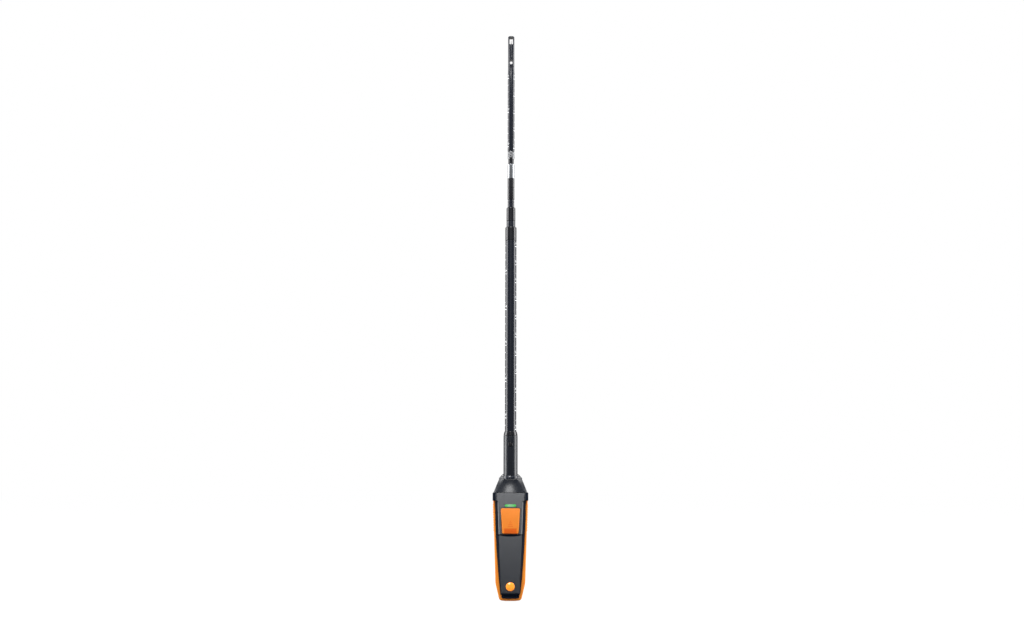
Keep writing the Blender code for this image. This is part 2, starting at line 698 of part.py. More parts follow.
def make_head():
    grip = [(4.0, GRIP_TOP), (4.7, GRIP_TOP), (4.85, GRIP_TOP - 0.2), (4.85, 551.3),
            (4.6, 551.0), (4.0, 551.0)]
    turned("coupling_sleeve", grip, "gloss_black", steps=32)
    turned("ferrule", ring_profile(4.75, 3.4, GRIP_TOP + GAP, FERRULE_TOP), "chrome", steps=32)
    neck = [(1.8, 640.0), (3.1, 640.0), (3.1, NECK_TOP), (3.95, NECK_TOP), (3.95, FERRULE_TOP + GAP),
            (3.1, FERRULE_TOP + GAP), (3.1, 570.0), (1.8, 570.0)]
    turned("neck_core", neck, "gloss_black", steps=20)
    nut = [(3.4, NUT_TOP), (4.5, NUT_TOP), (4.8, NUT_TOP - 0.4), (4.8, NECK_TOP + 1.5),
           (4.3, NECK_TOP + GAP), (3.4, NECK_TOP + GAP)]
    turned("coupling_nut", nut, "nickel", steps=32)
    head = [(4.45, 744.5), (4.6, 738.0), (4.75, 735.4), (4.8, NUT_TOP + GAP),
            (3.7, NUT_TOP + GAP), (3.7, 744.5)]
    turned("head_tube", head, "satin_black", steps=32)
    core = [(2.0, 738.0), (3.4, 738.0), (3.4, 641.0), (2.0, 641.0)]
    turned("head_core", core, "acetal", steps=20)


def make_probe_tip():
    """The guard cage round the sensor: a window front to back and a vent slot below it."""
    low, high = TIP_Z
    edge = 1.2
    profile = [(0, high)]
    for degrees in (0, 30, 60, 90):
        angle = math.radians(degrees)
        profile.append((TIP_R - edge + edge * math.sin(angle), high - edge + edge * math.cos(angle)))
    profile += [(TIP_R, low), (0, low)]
    tip = turned("probe_tip", profile, "satin_black", steps=32)
    cut(tip, prism("sensor_window", slot_outline(WINDOW_HALF, *WINDOW_Z, 0.6), -8, 8))
    cut(tip, prism("vent_slot", slot_outline(VENT_HALF, *VENT_Z, 1.7), -8, 8))
    cut(tip, turned("stem_bore", rod_profile(0.7, 760, WINDOW_Z[0] + 1, ease=0), steps=12))


def slot_outline(half, bottom, top, radius):
    """An upright opening with rounded corners."""
    corners = [(0, top), (half, top), (half, bottom), (0, bottom)]
    return mirrored(rounded(corners, (radius, radius), steps=4))


def make_sensor():
    """A ceramic bead on a thin steel stem, standing in the middle of the window."""
    middle = sum(WINDOW_Z) / 2
    turned("sensor_stem", rod_profile(0.4, 761.0, middle - 1.3, ease=0.05), "steel", steps=12)
    profile = [(0, middle + 1.2)]
    for degrees in (60, 30, 0, -30, -60):
        angle = math.radians(degrees)
        profile.append((0.75 * math.cos(angle), middle + 1.1 * math.sin(angle)))
    profile.append((0, middle - 1.0))
    turned("sensor_bead", profile, "ceramic", steps=14)


# --- everything ------------------------------------------------------------------------

def build():
    make_front_shell()
    make_grip_band()
    make_rear_shell()
    make_top_collar()
    make_battery_cover()
    make_measure_button()
    make_electronics()
    make_badge()
    for index, centre in enumerate(CELL_CENTRES, start=1):
        make_battery(index, centre, nub_up=index != 2)
    make_battery_tray()
    for index, (x, z, _) in enumerate(screw_places(), start=1):
        make_housing_screw(f"housing_screw_{index}", x, z)
    make_socket_block()
    make_adapter_cone()
    make_adapter()
    make_telescope()
    make_head()
    make_probe_tip()
    make_sensor()


clear_scene()
PARTS = collection("air_velocity_probe")
CUTTERS = collection("cutters")
build()
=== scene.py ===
"""Looks for a telescopic air-velocity probe with a battery handle, built round its CAD frame.

Sizes in the shape functions are in millimetres, and become metres when a mesh is made.
The handle's front faces -Y and the shaft runs up +Z.
"""
import math

import bmesh
import bpy
from bpy.props import FloatProperty, FloatVectorProperty, PointerProperty
from mathutils import Matrix, Quaternion, Vector


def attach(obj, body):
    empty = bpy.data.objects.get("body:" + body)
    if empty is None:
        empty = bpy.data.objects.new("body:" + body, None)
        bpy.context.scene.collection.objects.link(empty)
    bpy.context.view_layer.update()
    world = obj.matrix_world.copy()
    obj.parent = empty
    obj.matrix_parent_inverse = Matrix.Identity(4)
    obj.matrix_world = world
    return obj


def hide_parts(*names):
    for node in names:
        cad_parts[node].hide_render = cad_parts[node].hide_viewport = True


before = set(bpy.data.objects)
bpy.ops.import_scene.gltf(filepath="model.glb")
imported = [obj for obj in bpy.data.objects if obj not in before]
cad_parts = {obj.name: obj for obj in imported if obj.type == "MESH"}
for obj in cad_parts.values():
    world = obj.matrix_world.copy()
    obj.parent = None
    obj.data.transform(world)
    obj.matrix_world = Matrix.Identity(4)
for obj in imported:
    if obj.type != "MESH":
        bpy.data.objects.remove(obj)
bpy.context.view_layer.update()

bl_info = {
    "name": "Air-velocity probe",
    "version": (1, 0, 0),
    "blender": (4, 5, 0),
    "location": "View3D > Sidebar > Probe",
    "description": "Builds the visible pieces, finishes and studio of a telescopic probe",
    "category": "Add Mesh",
}

MM = 0.001
GAP = 0.3

# The handle
HANDLE_TOP = 143.5
COLLAR_BOTTOM = 133.0
PANEL_Y, GRIP_Y = -18.2, -17.2
PANEL_EDGE = 1.1
STEP_TOP, STEP_BOTTOM, STEP_BOW = 88.6, 86.9, 1.6
STEP_REACH = 13.4
SPLIT_Y = -6.0
BAND_FRONT, BAND_BACK = -8.0, 5.0
SHELL_BOTTOM, SHELL_CORNER = 5.9, 6.0
BUTTON_Z = (89.6, 122.9)
BUTTON_HALF = (10.9, 13.0)
LIGHT_Z, LIGHT_R, LIGHT_HALF = 126.5, 1.6, 7.6
BADGE_Z, BADGE_R, BADGE_DOME = 19.6, 5.9, 1.6

# The adapter and the shaft. A tube is its outer and inner radius, and its lower and upper end.
CONE_BOTTOM, CONE_TOP = 144.0, 161.2
SLEEVE = (9.7, 8.6, 161.6, 220.4)
RELEASE_Z = 208.7
BASE_TUBE = (7.8, 7.0, 180.0, 492.0)
BASE_COLLAR = (7.9, 6.4, 492.3, 511.6)
MIDDLE_TUBE = (6.15, 5.5, 266.3, 520.2)
MIDDLE_COLLAR = (6.25, 4.85, 520.5, 539.6)
FERRULE = (4.75, 3.4, 581.5, 601.8)
HEAD_R = 4.8
TIP_R, TIP_BOTTOM, TIP_TOP, TIP_EDGE = 4.5, 744.8, 789.8, 1.2
WINDOW_Z, WINDOW_HALF = (777.4, 787.8), 2.4
VENT_Z, VENT_HALF = (747.7, 754.7), 1.8

FLOOR_R = 7.0        # in metres
FLOOR_LEVEL = -0.6   # just under the handle's bottom


# --- colours and nodes ------------------------------------------------------------------

def srgb(hex_code):
    """An sRGB hex colour as linear red, green and blue."""
    values = [int(hex_code[i:i + 2], 16) / 255 for i in (1, 3, 5)]
    return tuple(v / 12.92 if v <= 0.04045 else ((v + 0.055) / 1.055) ** 2.4 for v in values)


def per_mm(size):
    """A texture scale for a feature of this many millimetres."""
    return 1.0 / (size * MM)


def shade(colour, factor):
    """A lighter or darker version of a linear colour, with alpha."""
    return (*(min(1.0, c * factor) for c in colour), 1.0)


def add(tree, kind, values=None, **inputs):
    """Adds a node. Its settings are in values; each input is a number or another node's output."""
    made = tree.nodes.new(kind)
    for key, value in (values or {}).items():
        setattr(made, key, value)
    for key, value in inputs.items():
        index = int(key[1:]) if key[0] == "i" and key[1:].isdigit() else key.replace("_", " ")
        socket = made.inputs[index]
        if isinstance(value, bpy.types.NodeSocket):
            tree.links.new(value, socket)
        else:
            socket.default_value = value
    return made


def new_material(name):
    """An empty node material: the material, its tree and the object coordinates."""
    made = bpy.data.materials.new(name)
    made.use_nodes = True
    tree = made.node_tree
    tree.nodes.clear()
    coords = add(tree, "ShaderNodeTexCoord").outputs["Object"]
    return made, tree, coords


def finish_surface(tree, bsdf):
    """Sends a shader to the material's output."""
    add(tree, "ShaderNodeOutputMaterial", Surface=bsdf.outputs["BSDF"])


def tint(tree, factor, first, second):
    """Mixes two colours by a factor output."""
    mix = add(tree, "ShaderNodeMix", {"data_type": "RGBA"}, Factor=factor)
    for socket, value in ((mix.inputs[6], first), (mix.inputs[7], second)):
        if isinstance(value, bpy.types.NodeSocket):
            tree.links.new(value, socket)
        else:
            socket.default_value = value
    return mix.outputs[2]


def spread(tree, source, low, high, start=0.3, end=0.7):
    """Maps a texture's output to a range."""
    made = add(tree, "ShaderNodeMapRange", Value=source, From_Min=start, From_Max=end,
               To_Min=low, To_Max=high)
    return made.outputs["Result"]


def plastic(name, colour, rough, grain_mm, grain_depth, ior=1.5, variation=0.08, extra=None):
    """A moulded plastic: cloudy colour, a grain from the mould's face and uneven gloss."""
    made, tree, coords = new_material(name)
    cloud = add(tree, "ShaderNodeTexNoise", Vector=coords, Scale=per_mm(9.0), Detail=3.0)
    grain = add(tree, "ShaderNodeTexNoise", Vector=coords, Scale=per_mm(grain_mm), Detail=2.0)
    base = tint(tree, spread(tree, cloud.outputs["Fac"], 0.0, 1.0),
                shade(colour, 1 - variation), shade(colour, 1 + variation))
    speck = tint(tree, spread(tree, grain.outputs["Fac"], 0.0, 1.0, 0.4, 0.75),
                 base, shade(colour, 1 + 2.2 * variation))
    gloss = spread(tree, grain.outputs["Fac"], rough - 0.04, rough + 0.05)
    bump = add(tree, "ShaderNodeBump", Strength=0.6, Distance=grain_depth * MM,
               Height=grain.outputs["Fac"])
    bsdf = add(tree, "ShaderNodeBsdfPrincipled", Base_Color=speck, Roughness=gloss, IOR=ior,
               Normal=bump.outputs["Normal"], **(extra or {}))
    finish_surface(tree, bsdf)
    return made


def turned_metal(name, colour, rough, line_mm, line_depth, metallic=1.0, ior=1.5):
    """A turned surface: fine rings round the axis from the tool, and a soft change of gloss."""
    made, tree, coords = new_material(name)
    stretch = add(tree, "ShaderNodeMapping", Vector=coords)
    stretch.inputs["Scale"].default_value = (0.04, 0.04, 1.0)
    lines = add(tree, "ShaderNodeTexNoise", Vector=stretch.outputs["Vector"],
                Scale=per_mm(line_mm), Detail=3.0)
    haze = add(tree, "ShaderNodeTexNoise", Vector=coords, Scale=per_mm(6.0), Detail=2.0)
    base = tint(tree, spread(tree, haze.outputs["Fac"], 0.0, 1.0),
                shade(colour, 0.93), shade(colour, 1.07))
    gloss = spread(tree, lines.outputs["Fac"], max(rough - 0.05, 0.02), rough + 0.06)
    bump = add(tree, "ShaderNodeBump", Strength=0.5, Distance=line_depth * MM,
               Height=lines.outputs["Fac"])
    sockets = {"Base_Color": base, "Roughness": gloss, "Metallic": metallic,
               "Normal": bump.outputs["Normal"]}
    if metallic < 1.0:
        sockets["IOR"] = ior
    finish_surface(tree, add(tree, "ShaderNodeBsdfPrincipled", **sockets))
    return made


def make_plastics(colours):
    # Moulded ABS from a spark-eroded tool: a satin charcoal with a fine even grain.
    plastic("textured_charcoal_abs", colours.charcoal, 0.34, 0.35, 0.02, 1.53, 0.08,
            {"Specular_IOR_Level": 0.35})
    # Moulded ABS from a polished tool: darker, with soft gloss on the case and the adapter.
    plastic("smooth_black_abs", colours.black, 0.3, 1.4, 0.012, 1.53, 0.05)
    # Near-black matt resin for the shell's sides; on the cheeks, the step and the collar's slopes
    # it is painted shade.
    plastic("matt_black_abs", srgb("#0a111c"), 0.6, 0.6, 0.02, 1.5, 0.05,
            {"Specular_IOR_Level": 0.03})
    # Soft thermoplastic rubber moulded over the case: full colour, no sharp reflection.
    plastic("soft_orange_rubber", colours.orange, 0.55, 0.45, 0.03, 1.5, 0.05,
            {"Subsurface_Weight": 0.08, "Subsurface_Scale": 0.002})
    # Moulded ABS key cap: the same orange with a satin face.
    plastic("satin_orange_abs", colours.key, 0.38, 0.5, 0.015, 1.53, 0.04)
    # The key's dashes, and painted shade on the key's sloping lower end: the same resin, darker.
    plastic("deep_orange_abs", colours.key_dash_and_shade, 0.4, 0.5, 0.015, 1.53, 0.04)
    # Polished ABS for the badge: a clear orange dome with one sharp highlight.
    plastic("polished_orange_abs", colours.key, 0.12, 1.6, 0.004, 1.53, 0.03)
    # Polished glass-filled nylon: nearly black, with mirror-like narrow highlights.
    plastic("polished_black_nylon", colours.gloss_black, 0.14, 2.2, 0.006, 1.53, 0.1)
    # Nitrile rubber: black with a dull bloom.
    plastic("nitrile_rubber", srgb("#1b1b1c"), 0.8, 0.5, 0.03, 1.52, 0.2)
    # Acetal: off-white, waxy and slightly see-through.
    plastic("natural_acetal", srgb("#c9c9c4"), 0.42, 1.0, 0.008, 1.48, 0.03,
            {"Subsurface_Weight": 0.15, "Subsurface_Scale": 0.001})
    # Pad-printed ink: a thin, flat, slightly grey white.
    plastic("white_print_ink", colours.ink, 0.6, 0.3, 0.006, 1.45, 0.04)


def make_metals(colours):
    # Black anodised aluminium tube: a glassy oxide over dark dye, with faint drawing lines.
    turned_metal("black_anodised_aluminium", colours.anodised, 0.19, 0.5, 0.003, 0.0, 1.5)
    # Bright chrome over nickel: clear reflections with a trace of polishing rings.
    turned_metal("bright_chrome", srgb("#b4b8bd"), 0.1, 0.4, 0.002)
    # Nickel-plated brass: warmer and softer than chrome.
    turned_metal("nickel_plate", srgb("#7b7c7e"), 0.3, 0.3, 0.006)
    # Stainless steel, bright drawn: grey with fine lines.
    turned_metal("drawn_stainless_steel", srgb("#b4b6b8"), 0.32, 0.2, 0.004)


def make_light_guide(colours):
    """Green acrylic over a lamp: glossy, lit from behind, palest in the middle."""
    made, tree, coords = new_material("green_acrylic")
    parts = add(tree, "ShaderNodeSeparateXYZ", Vector=coords)
    away = add(tree, "ShaderNodeMath", {"operation": "ABSOLUTE"}, i0=parts.outputs["X"])
    middle = spread(tree, away.outputs[0], 1.0, 0.0, 0.0008, 0.0052)
    cells = add(tree, "ShaderNodeTexNoise", Vector=coords, Scale=per_mm(1.2), Detail=1.0)
    patch = add(tree, "ShaderNodeMath", {"operation": "MULTIPLY"}, i0=middle,
                i1=spread(tree, cells.outputs["Fac"], 0.25, 0.9, 0.35, 0.6))
    green = shade(colours.lamp, 1.0)
    pale = (*srgb("#b4c9b6"), 1.0)
    colour = tint(tree, patch.outputs[0], green, pale)
    bsdf = add(tree, "ShaderNodeBsdfPrincipled", Base_Color=colour, Roughness=0.18, IOR=1.49,
               Emission_Color=colour, Emission_Strength=0.12)
    finish_surface(tree, bsdf)


def make_board():
    """Solder mask over copper on glass-epoxy: green with slightly raised lighter tracks."""
    made, tree, coords = new_material("solder_mask")
    tracks = add(tree, "ShaderNodeTexBrick", Vector=coords, Scale=per_mm(8.0), Mortar_Size=0.03)
    tracks.inputs["Color1"].default_value = (*srgb("#0d5a2e"), 1.0)
    tracks.inputs["Color2"].default_value = (*srgb("#0a4d27"), 1.0)
    tracks.inputs["Mortar"].default_value = (*srgb("#2f8a55"), 1.0)
    bump = add(tree, "ShaderNodeBump", Strength=0.5, Distance=0.04 * MM,
               Height=tracks.outputs["Fac"])
    bsdf = add(tree, "ShaderNodeBsdfPrincipled", Base_Color=tracks.outputs["Color"],
               Roughness=0.35, IOR=1.5, Normal=bump.outputs["Normal"])
    finish_surface(tree, bsdf)


def make_cell_film():
    """Shrink film on a battery: blue with a pale band at one end, glossy and a little rippled."""
    made, tree, coords = new_material("printed_shrink_film")
    parts = add(tree, "ShaderNodeSeparateXYZ", Vector=coords)
    band = spread(tree, parts.outputs["Z"], 0.0, 1.0, 0.0659, 0.0661)
    ripple = add(tree, "ShaderNodeTexNoise", Vector=coords, Scale=per_mm(5.0), Detail=2.0)
    colour = tint(tree, band, (*srgb("#2b4e78"), 1.0), (*srgb("#c9ccd0"), 1.0))
    bump = add(tree, "ShaderNodeBump", Strength=0.5, Distance=0.1 * MM,
               Height=ripple.outputs["Fac"])
    bsdf = add(tree, "ShaderNodeBsdfPrincipled", Base_Color=colour, Roughness=0.25, IOR=1.55,
               Normal=bump.outputs["Normal"])
    finish_surface(tree, bsdf)


def make_ceramic():
    """Glazed ceramic bead: white, glassy, with small specks."""
    made, tree, coords = new_material("glazed_ceramic")
    specks = add(tree, "ShaderNodeTexVoronoi", Vector=coords, Scale=per_mm(0.4))
    fleck = spread(tree, specks.outputs["Distance"], 1.0, 0.0, 0.05, 0.15)
    colour = tint(tree, fleck, (*srgb("#e6e6e3"), 1.0), (*srgb("#a8a7a2"), 1.0))
    bsdf = add(tree, "ShaderNodeBsdfPrincipled", Base_Color=colour, Roughness=0.2, IOR=1.55,
               Coat_Weight=0.5, Coat_Roughness=0.08)
    finish_surface(tree, bsdf)


NODE_FINISHES = {
    "smooth_black_abs": ("rear_shell", "battery_cover", "socket_block"),
    "polished_black_nylon": ("adapter_plug", "probe_socket", "telescope_plug"),
    "nitrile_rubber": ("button_gasket", "adapter_seal", "lead_coil_a", "lead_coil_b",
                       "sensor_lead"),
    "natural_acetal": ("status_led", "battery_tray", "bush_a", "bush_b", "guide_ring_b",
                       "guide_ring_c", "head_core"),
    "nickel_plate": ("radio_module", "contact_plate_lower", "contact_plate_upper"),
    "drawn_stainless_steel": ("key_switch", "battery_spring_1", "battery_spring_2",
                              "battery_spring_3", "housing_screw_1", "housing_screw_2",
                              "housing_screw_3", "housing_screw_4", "sensor_stem"),
    "solder_mask": ("main_board",),
    "printed_shrink_film": ("battery_1", "battery_2", "battery_3"),
    "glazed_ceramic": ("sensor_bead",),
}


def material(name):
    return bpy.data.materials[name]


# --- making meshes ----------------------------------------------------------------------

def mesh_object(name, bm, smooth=35):
    """An object in metres from a bmesh in millimetres."""
    bmesh.ops.recalc_face_normals(bm, faces=bm.faces)
    mesh = bpy.data.meshes.new(name)
    bm.to_mesh(mesh)
    bm.free()
    mesh.transform(Matrix.Scale(MM, 4))
    mesh.shade_smooth()
    mesh.set_sharp_from_angle(angle=math.radians(smooth))
    obj = bpy.data.objects.new(name, mesh)
    bpy.context.scene.collection.objects.link(obj)
    return obj


def place(obj, body, slot, finishes, *replaced):
    """Gives a piece its finishes and its body, and hides the nodes it stands for. The slot is not
    used.
    """
    for finish in finishes:
        obj.data.materials.append(material(finish))
    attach(obj, body)
    if replaced:
        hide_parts(*replaced)
    return obj


def circle(radius, steps, centre=(0.0, 0.0)):
    """Points evenly spaced round a circle."""
    turns = [2 * math.pi * i / steps for i in range(steps)]
    return [(centre[0] + radius * math.cos(a), centre[1] + radius * math.sin(a)) for a in turns]


def arc(centre, radius, start, end, steps, rise=None):
    """Points from one angle in degrees to another. A rise makes it part of an ellipse."""
    rise = radius if rise is None else rise
    turns = [math.radians(start + (end - start) * i / steps) for i in range(steps + 1)]
    return [(centre[0] + radius * math.cos(a), centre[1] + rise * math.sin(a)) for a in turns]


def grid_mesh(rows, closed_rows=False, closed_columns=False):
    """A bmesh skin through rows of points."""
    bm = bmesh.new()
    verts = [[bm.verts.new(point) for point in row] for row in rows]
    row_count, column_count = len(verts), len(verts[0])
    for i in range(row_count if closed_rows else row_count - 1):
        for j in range(column_count if closed_columns else column_count - 1):
            corners = (verts[i][j], verts[i][(j + 1) % column_count],
                       verts[(i + 1) % row_count][(j + 1) % column_count],
                       verts[(i + 1) % row_count][j])
            bm.faces.new(corners)
    return bm, verts


def turned(name, profile, steps=96, centre=(0.0, 0.0), smooth=35):
    """A piece turned about a vertical axis.

    The profile is (radius, height) points down the outer side. One that starts and ends on
    the axis makes a solid; any other is closed into a ring.
    """
    solid = profile[0][0] == 0
    bm = bmesh.new()
    rings = []
    for radius, height in profile:
        if radius == 0:
            rings.append([bm.verts.new((centre[0], centre[1], height))])
            continue
        rings.append([bm.verts.new((x, y, height)) for x, y in circle(radius, steps, centre)])
    pairs = list(zip(rings, rings[1:]))
    if not solid:
        pairs.append((rings[-1], rings[0]))
    for upper, lower in pairs:
        for i in range(steps):
            j = (i + 1) % steps
            corners = [upper[i % len(upper)], upper[j % len(upper)],
                       lower[j % len(lower)], lower[i % len(lower)]]
            bm.faces.new(list(dict.fromkeys(corners)))
    return mesh_object(name, bm, smooth)


def loft(name, sections, smooth=35):
    """A closed skin through closed sections with the same number of points."""
    bm, verts = grid_mesh(sections, closed_columns=True)
    bm.faces.new(reversed(verts[0]))
    bm.faces.new(verts[-1])
    return mesh_object(name, bm, smooth)


def pushed(name, outline, low, high, axis="Y", ease=0.0, segments=3, smooth=35):
    """An outline pushed along an axis, with eased ends. It is (x, z) for Y and (x, y) for Z."""
    steps = [(low, 0.0), (high, 0.0)]
    if ease:
        near = []
        for i in range(segments, -1, -1):
            angle = math.radians(90 * i / segments)
            near.append((low + ease * (1 - math.sin(angle)), ease * (1 - math.cos(angle))))
        steps = near + [(low + high - level, inset) for level, inset in reversed(near)]
    sections = []
    for level, inset in steps:
        ring = shrink(outline, inset)
        if axis == "Y":
            sections.append([(a, level, b) for a, b in ring])
        else:
            sections.append([(a, b, level) for a, b in ring])
    return loft(name, sections, smooth)


def shrink(outline, inset):
    """Moves a closed outline's points inwards along their own normals."""
    if not inset:
        return outline
    count = len(outline)
    area = sum(outline[i - 1][0] * outline[i][1] - outline[i][0] * outline[i - 1][1]
               for i in range(count))
    turn = 1.0 if area > 0 else -1.0
    out = []
    for i in range(count):
        here = Vector(outline[i])
        before = (here - Vector(outline[i - 1])).normalized()
        after = (Vector(outline[(i + 1) % count]) - here).normalized()
        along = (before + after).normalized()
        normal = Vector((-along.y, along.x)) * turn
        spread_out = max(0.35, abs(before.dot(along)))
        out.append(tuple(here + normal * inset / spread_out))
    return out


def rod_y(name, centre, radius, front, back, sides=48):
    """A round bar that runs from front to back."""
    return pushed(name, circle(radius, sides, centre), front, back)


def baked(obj):
    """Replaces an object's mesh by the result of its modifiers."""
    graph = bpy.context.evaluated_depsgraph_get()
    mesh = bpy.data.meshes.new_from_object(obj.evaluated_get(graph))
    obj.modifiers.clear()
    obj.data = mesh


def combined(obj, operation, tools, smooth=35):
    """Cuts tools from a piece or joins them to it, then removes the tools."""
    for tool in tools:
        change = obj.modifiers.new(tool.name, "BOOLEAN")
        change.operation = operation
        change.solver = "EXACT"
        change.object = tool
    baked(obj)
    for tool in tools:
        bpy.data.objects.remove(tool)
    obj.data.shade_smooth()
    obj.data.set_sharp_from_angle(angle=math.radians(smooth))
    return obj


def cut(obj, *tools):
    return combined(obj, "DIFFERENCE", tools)


def joined(obj, *tools):
    return combined(obj, "UNION", tools)


def softened(obj, width, segments=2, angle=30):
    """Eases the sharp edges of a piece, so that they catch the light."""
    bevel = obj.modifiers.new("eased_edges", "BEVEL")
    bevel.width = width * MM
    bevel.segments = segments
    bevel.limit_method = "ANGLE"
    bevel.angle_limit = math.radians(angle)
    bevel.harden_normals = True


def rounded(points, radii, steps=6):
    """Replaces each inner corner of an open line with an arc of the given radius."""
    out = [points[0]]
    for before, corner, after, radius in zip(points, points[1:], points[2:], radii):
        here = Vector(corner)
        to_before = (Vector(before) - here).normalized()
        to_after = (Vector(after) - here).normalized()
        half_angle = to_before.angle(to_after) / 2
        centre = here + (to_before + to_after).normalized() * radius / math.sin(half_angle)
        reach = radius / math.tan(half_angle)
        start = here + to_before * reach - centre
        end = here + to_after * reach - centre
        for i in range(steps + 1):
            spoke = start.slerp(end, i / steps)
            out.append(tuple(centre + spoke.normalized() * radius))
    out.append(points[-1])
    return out


def mirrored(points):
    """Closes a right-hand half outline, listed top to bottom, with its mirror image."""
    return points + [(-a, b) for a, b in reversed(points) if a > 1e-6]


def ring_profile(outer, inner, bottom, top, ease=0.3, steps=4):
    """A sleeve whose outer edges are rounded."""
    upper = arc((outer - ease, top - ease), ease, 90, 0, steps)
    lower = arc((outer - ease, bottom + ease), ease, 0, -90, steps)
    return [(inner, top)] + upper + lower + [(inner, bottom)]


# --- the handle's outlines --------------------------------------------------------------

def between(table, z):
    """Reads a table of (height, value) pairs, straight between its rows."""
    for (low, first), (high, second) in zip(table, table[1:]):
        if z <= high:
            return first + (second - first) * max(0.0, (z - low) / (high - low))
    return table[-1][1]


def front_half_width(z):
    drop = 130.0 - z
    return 20.5 - 0.0125 * drop - 0.00041 * drop * drop


def panel_half_width(z):
    """Half the panel's width: a straight taper, drawn in a little beside the key."""
    return between(((4.0, 11.6), (20.0, 12.7), (40.0, 13.6), (75.0, 15.2), (86.0, 15.5),
                    (89.0, 14.5), (96.0, 14.8), (118.0, 15.6), (131.4, 16.1), (133.2, 18.2)), z)


def band_outline(inset, top, steps=10):
    """The right half of the handle's outline, moved in by an inset, top to bottom."""
    points = [(23.5 - inset, top), (20.1 - inset, 23.0 + 0.4 * inset),
              (14.6 - inset, 0.8 + inset), (6.0 - 0.35 * inset, inset)]
    return rounded(points, (40.0, max(4.5 - inset, 1.0)), steps) + [(0.0, inset)]


def button_outline(grow, steps=6):
    (low, high), (narrow, wide) = BUTTON_Z, BUTTON_HALF
    points = [(0, high + grow), (wide + grow, high + grow), (narrow + grow, low - grow),
              (0, low - grow)]
    return mirrored(rounded(points, (1.9 + grow, 1.2 + grow), steps))


def light_outline(grow, steps=8):
    radius = LIGHT_R + grow
    reach = LIGHT_HALF - LIGHT_R
    right = []
    for i in range(steps + 1):
        angle = math.pi * i / steps
        right.append((reach + radius * math.sin(angle), LIGHT_Z + radius * math.cos(angle)))
    return right + [(-x, z) for x, z in reversed(right)]


def step_bow(z, x):
    """How far a level dips at the middle, so that the step under the key bends like a smile."""
    across = max(0.0, 1 - (x / STEP_REACH) ** 2)
    if z > STEP_BOTTOM:
        weight = max(0.0, (STEP_TOP - z) / (STEP_TOP - STEP_BOTTOM))
    else:
        weight = max(0.0, 1 - (STEP_BOTTOM - z) / 7.0) ** 2
    return -STEP_BOW * across * weight


def panel_depth(z):
    """How far forward the panel stands: raised round the key, with a scooped step below."""
    if z >= STEP_TOP:
        return PANEL_Y
    if z <= STEP_BOTTOM:
        return GRIP_Y
    t = (z - STEP_BOTTOM) / (STEP_TOP - STEP_BOTTOM)
    return GRIP_Y + (PANEL_Y - GRIP_Y) * t + 1.1 * math.sin(math.pi * t) ** 0.5


# --- the front shell --------------------------------------------------------------------

def shell_section(z, inset):
    """One level of the front shell's skin, from the left rear edge round to the right one."""
    floor = SHELL_BOTTOM + inset
    radius = SHELL_CORNER
    side = front_half_width(max(z, floor + radius)) - inset
    panel = panel_half_width(z) - 0.6 * inset
    front = panel_depth(z) + inset
    if z < floor + radius:
        rise = radius - (z - floor)
        tuck = radius - math.sqrt(max(radius * radius - rise * rise, 0.0))
        side -= tuck
        panel -= 0.5 * tuck
        front += 0.6 * tuck
    edge = min(PANEL_EDGE, 0.3 * (side - panel))
    line = [(0.0, front), (panel, front), (panel + edge, front + edge), (side, front + 5.5),
            (side, SPLIT_Y)]
    arcs = rounded(line, (0.6 * edge, 0.6 * edge, 1.4), 4)
    flat_end = arcs[1][0]
    flat = [(flat_end * i / 10, front) for i in range(10)]
    half = [(x, y, z + step_bow(z, x)) for x, y in flat + arcs[1:]]
    return [(-x, y, h) for x, y, h in reversed(half[1:])] + half


def shell_levels():
    corner = [SHELL_BOTTOM + SHELL_CORNER * (1 - math.cos(math.radians(a)))
              for a in range(0, 91, 10)]
    lower = [12, 14, 18, 24, 32, 40, 50, 60, 70, 77, 80, 82, 84, 85.5, 86.4]
    step = [STEP_BOTTOM + (STEP_TOP - STEP_BOTTOM) * i / 8 for i in range(9)]
    upper = [88.9, 90, 96, 104, 112, 120, 128, 131.4, COLLAR_BOTTOM, 134, 138, HANDLE_TOP]
    return corner + lower + step + upper


def build_front_shell():
    rows = [shell_section(z, 0.0) for z in shell_levels()]
    bm, verts = grid_mesh(rows)
    bottom = verts[0]
    count = len(bottom)
    for i in range(count // 2 - 1):
        bm.faces.new((bottom[i], bottom[i + 1], bottom[count - 2 - i], bottom[count - 1 - i]))
    middle = count // 2
    bm.faces.new((bottom[middle - 1], bottom[middle], bottom[middle + 1]))
    shell = mesh_object("front_housing", bm)
    skin = shell.modifiers.new("wall", "SOLIDIFY")
    skin.thickness = 2.0 * MM
    skin.offset = -1.0
    baked(shell)
    pocket = pushed("key_opening", button_outline(0.8), -20, -13)
    slot = pushed("lamp_opening", light_outline(0.2), -20, -13)
    recess = rod_y("badge_recess", (0, BADGE_Z), BADGE_R + 0.9, -20, GRIP_Y + 1.0, 64)
    cut(shell, pocket, slot, recess)
    place(shell, "handle", "charcoal_abs",
          ("textured_charcoal_abs", "matt_black_abs", "smooth_black_abs"), "front_shell")
    paint_shell(shell)
    softened(shell, 0.18)


def paint_shell(shell):
    """The flat panel is textured, its upper edges are smooth, and the rest is matt black: painted
    shade in the step, on the cheeks and lower edges.
    """
    for face in shell.data.polygons:
        centre = face.center / MM
        in_step = STEP_BOTTOM + step_bow(STEP_BOTTOM, centre.x) < centre.z < STEP_TOP
        beyond = abs(centre.x) - panel_half_width(centre.z)
        panel = face.normal.y < -0.8 and centre.z > SHELL_BOTTOM + 4.5 and beyond < 0.1
        edge = 0.0 < beyond < PANEL_EDGE + 0.2 and -0.9 < face.normal.y < -0.6
        # Matt black here is painted shade in the step under the key, on the cheeks and on the
        # lower edges.
        if panel and not (in_step and abs(centre.x) < STEP_REACH):
            face.material_index = 0
        else:
            face.material_index = 2 if edge and centre.z > STEP_TOP else 1


# --- the grip band ----------------------------------------------------------------------

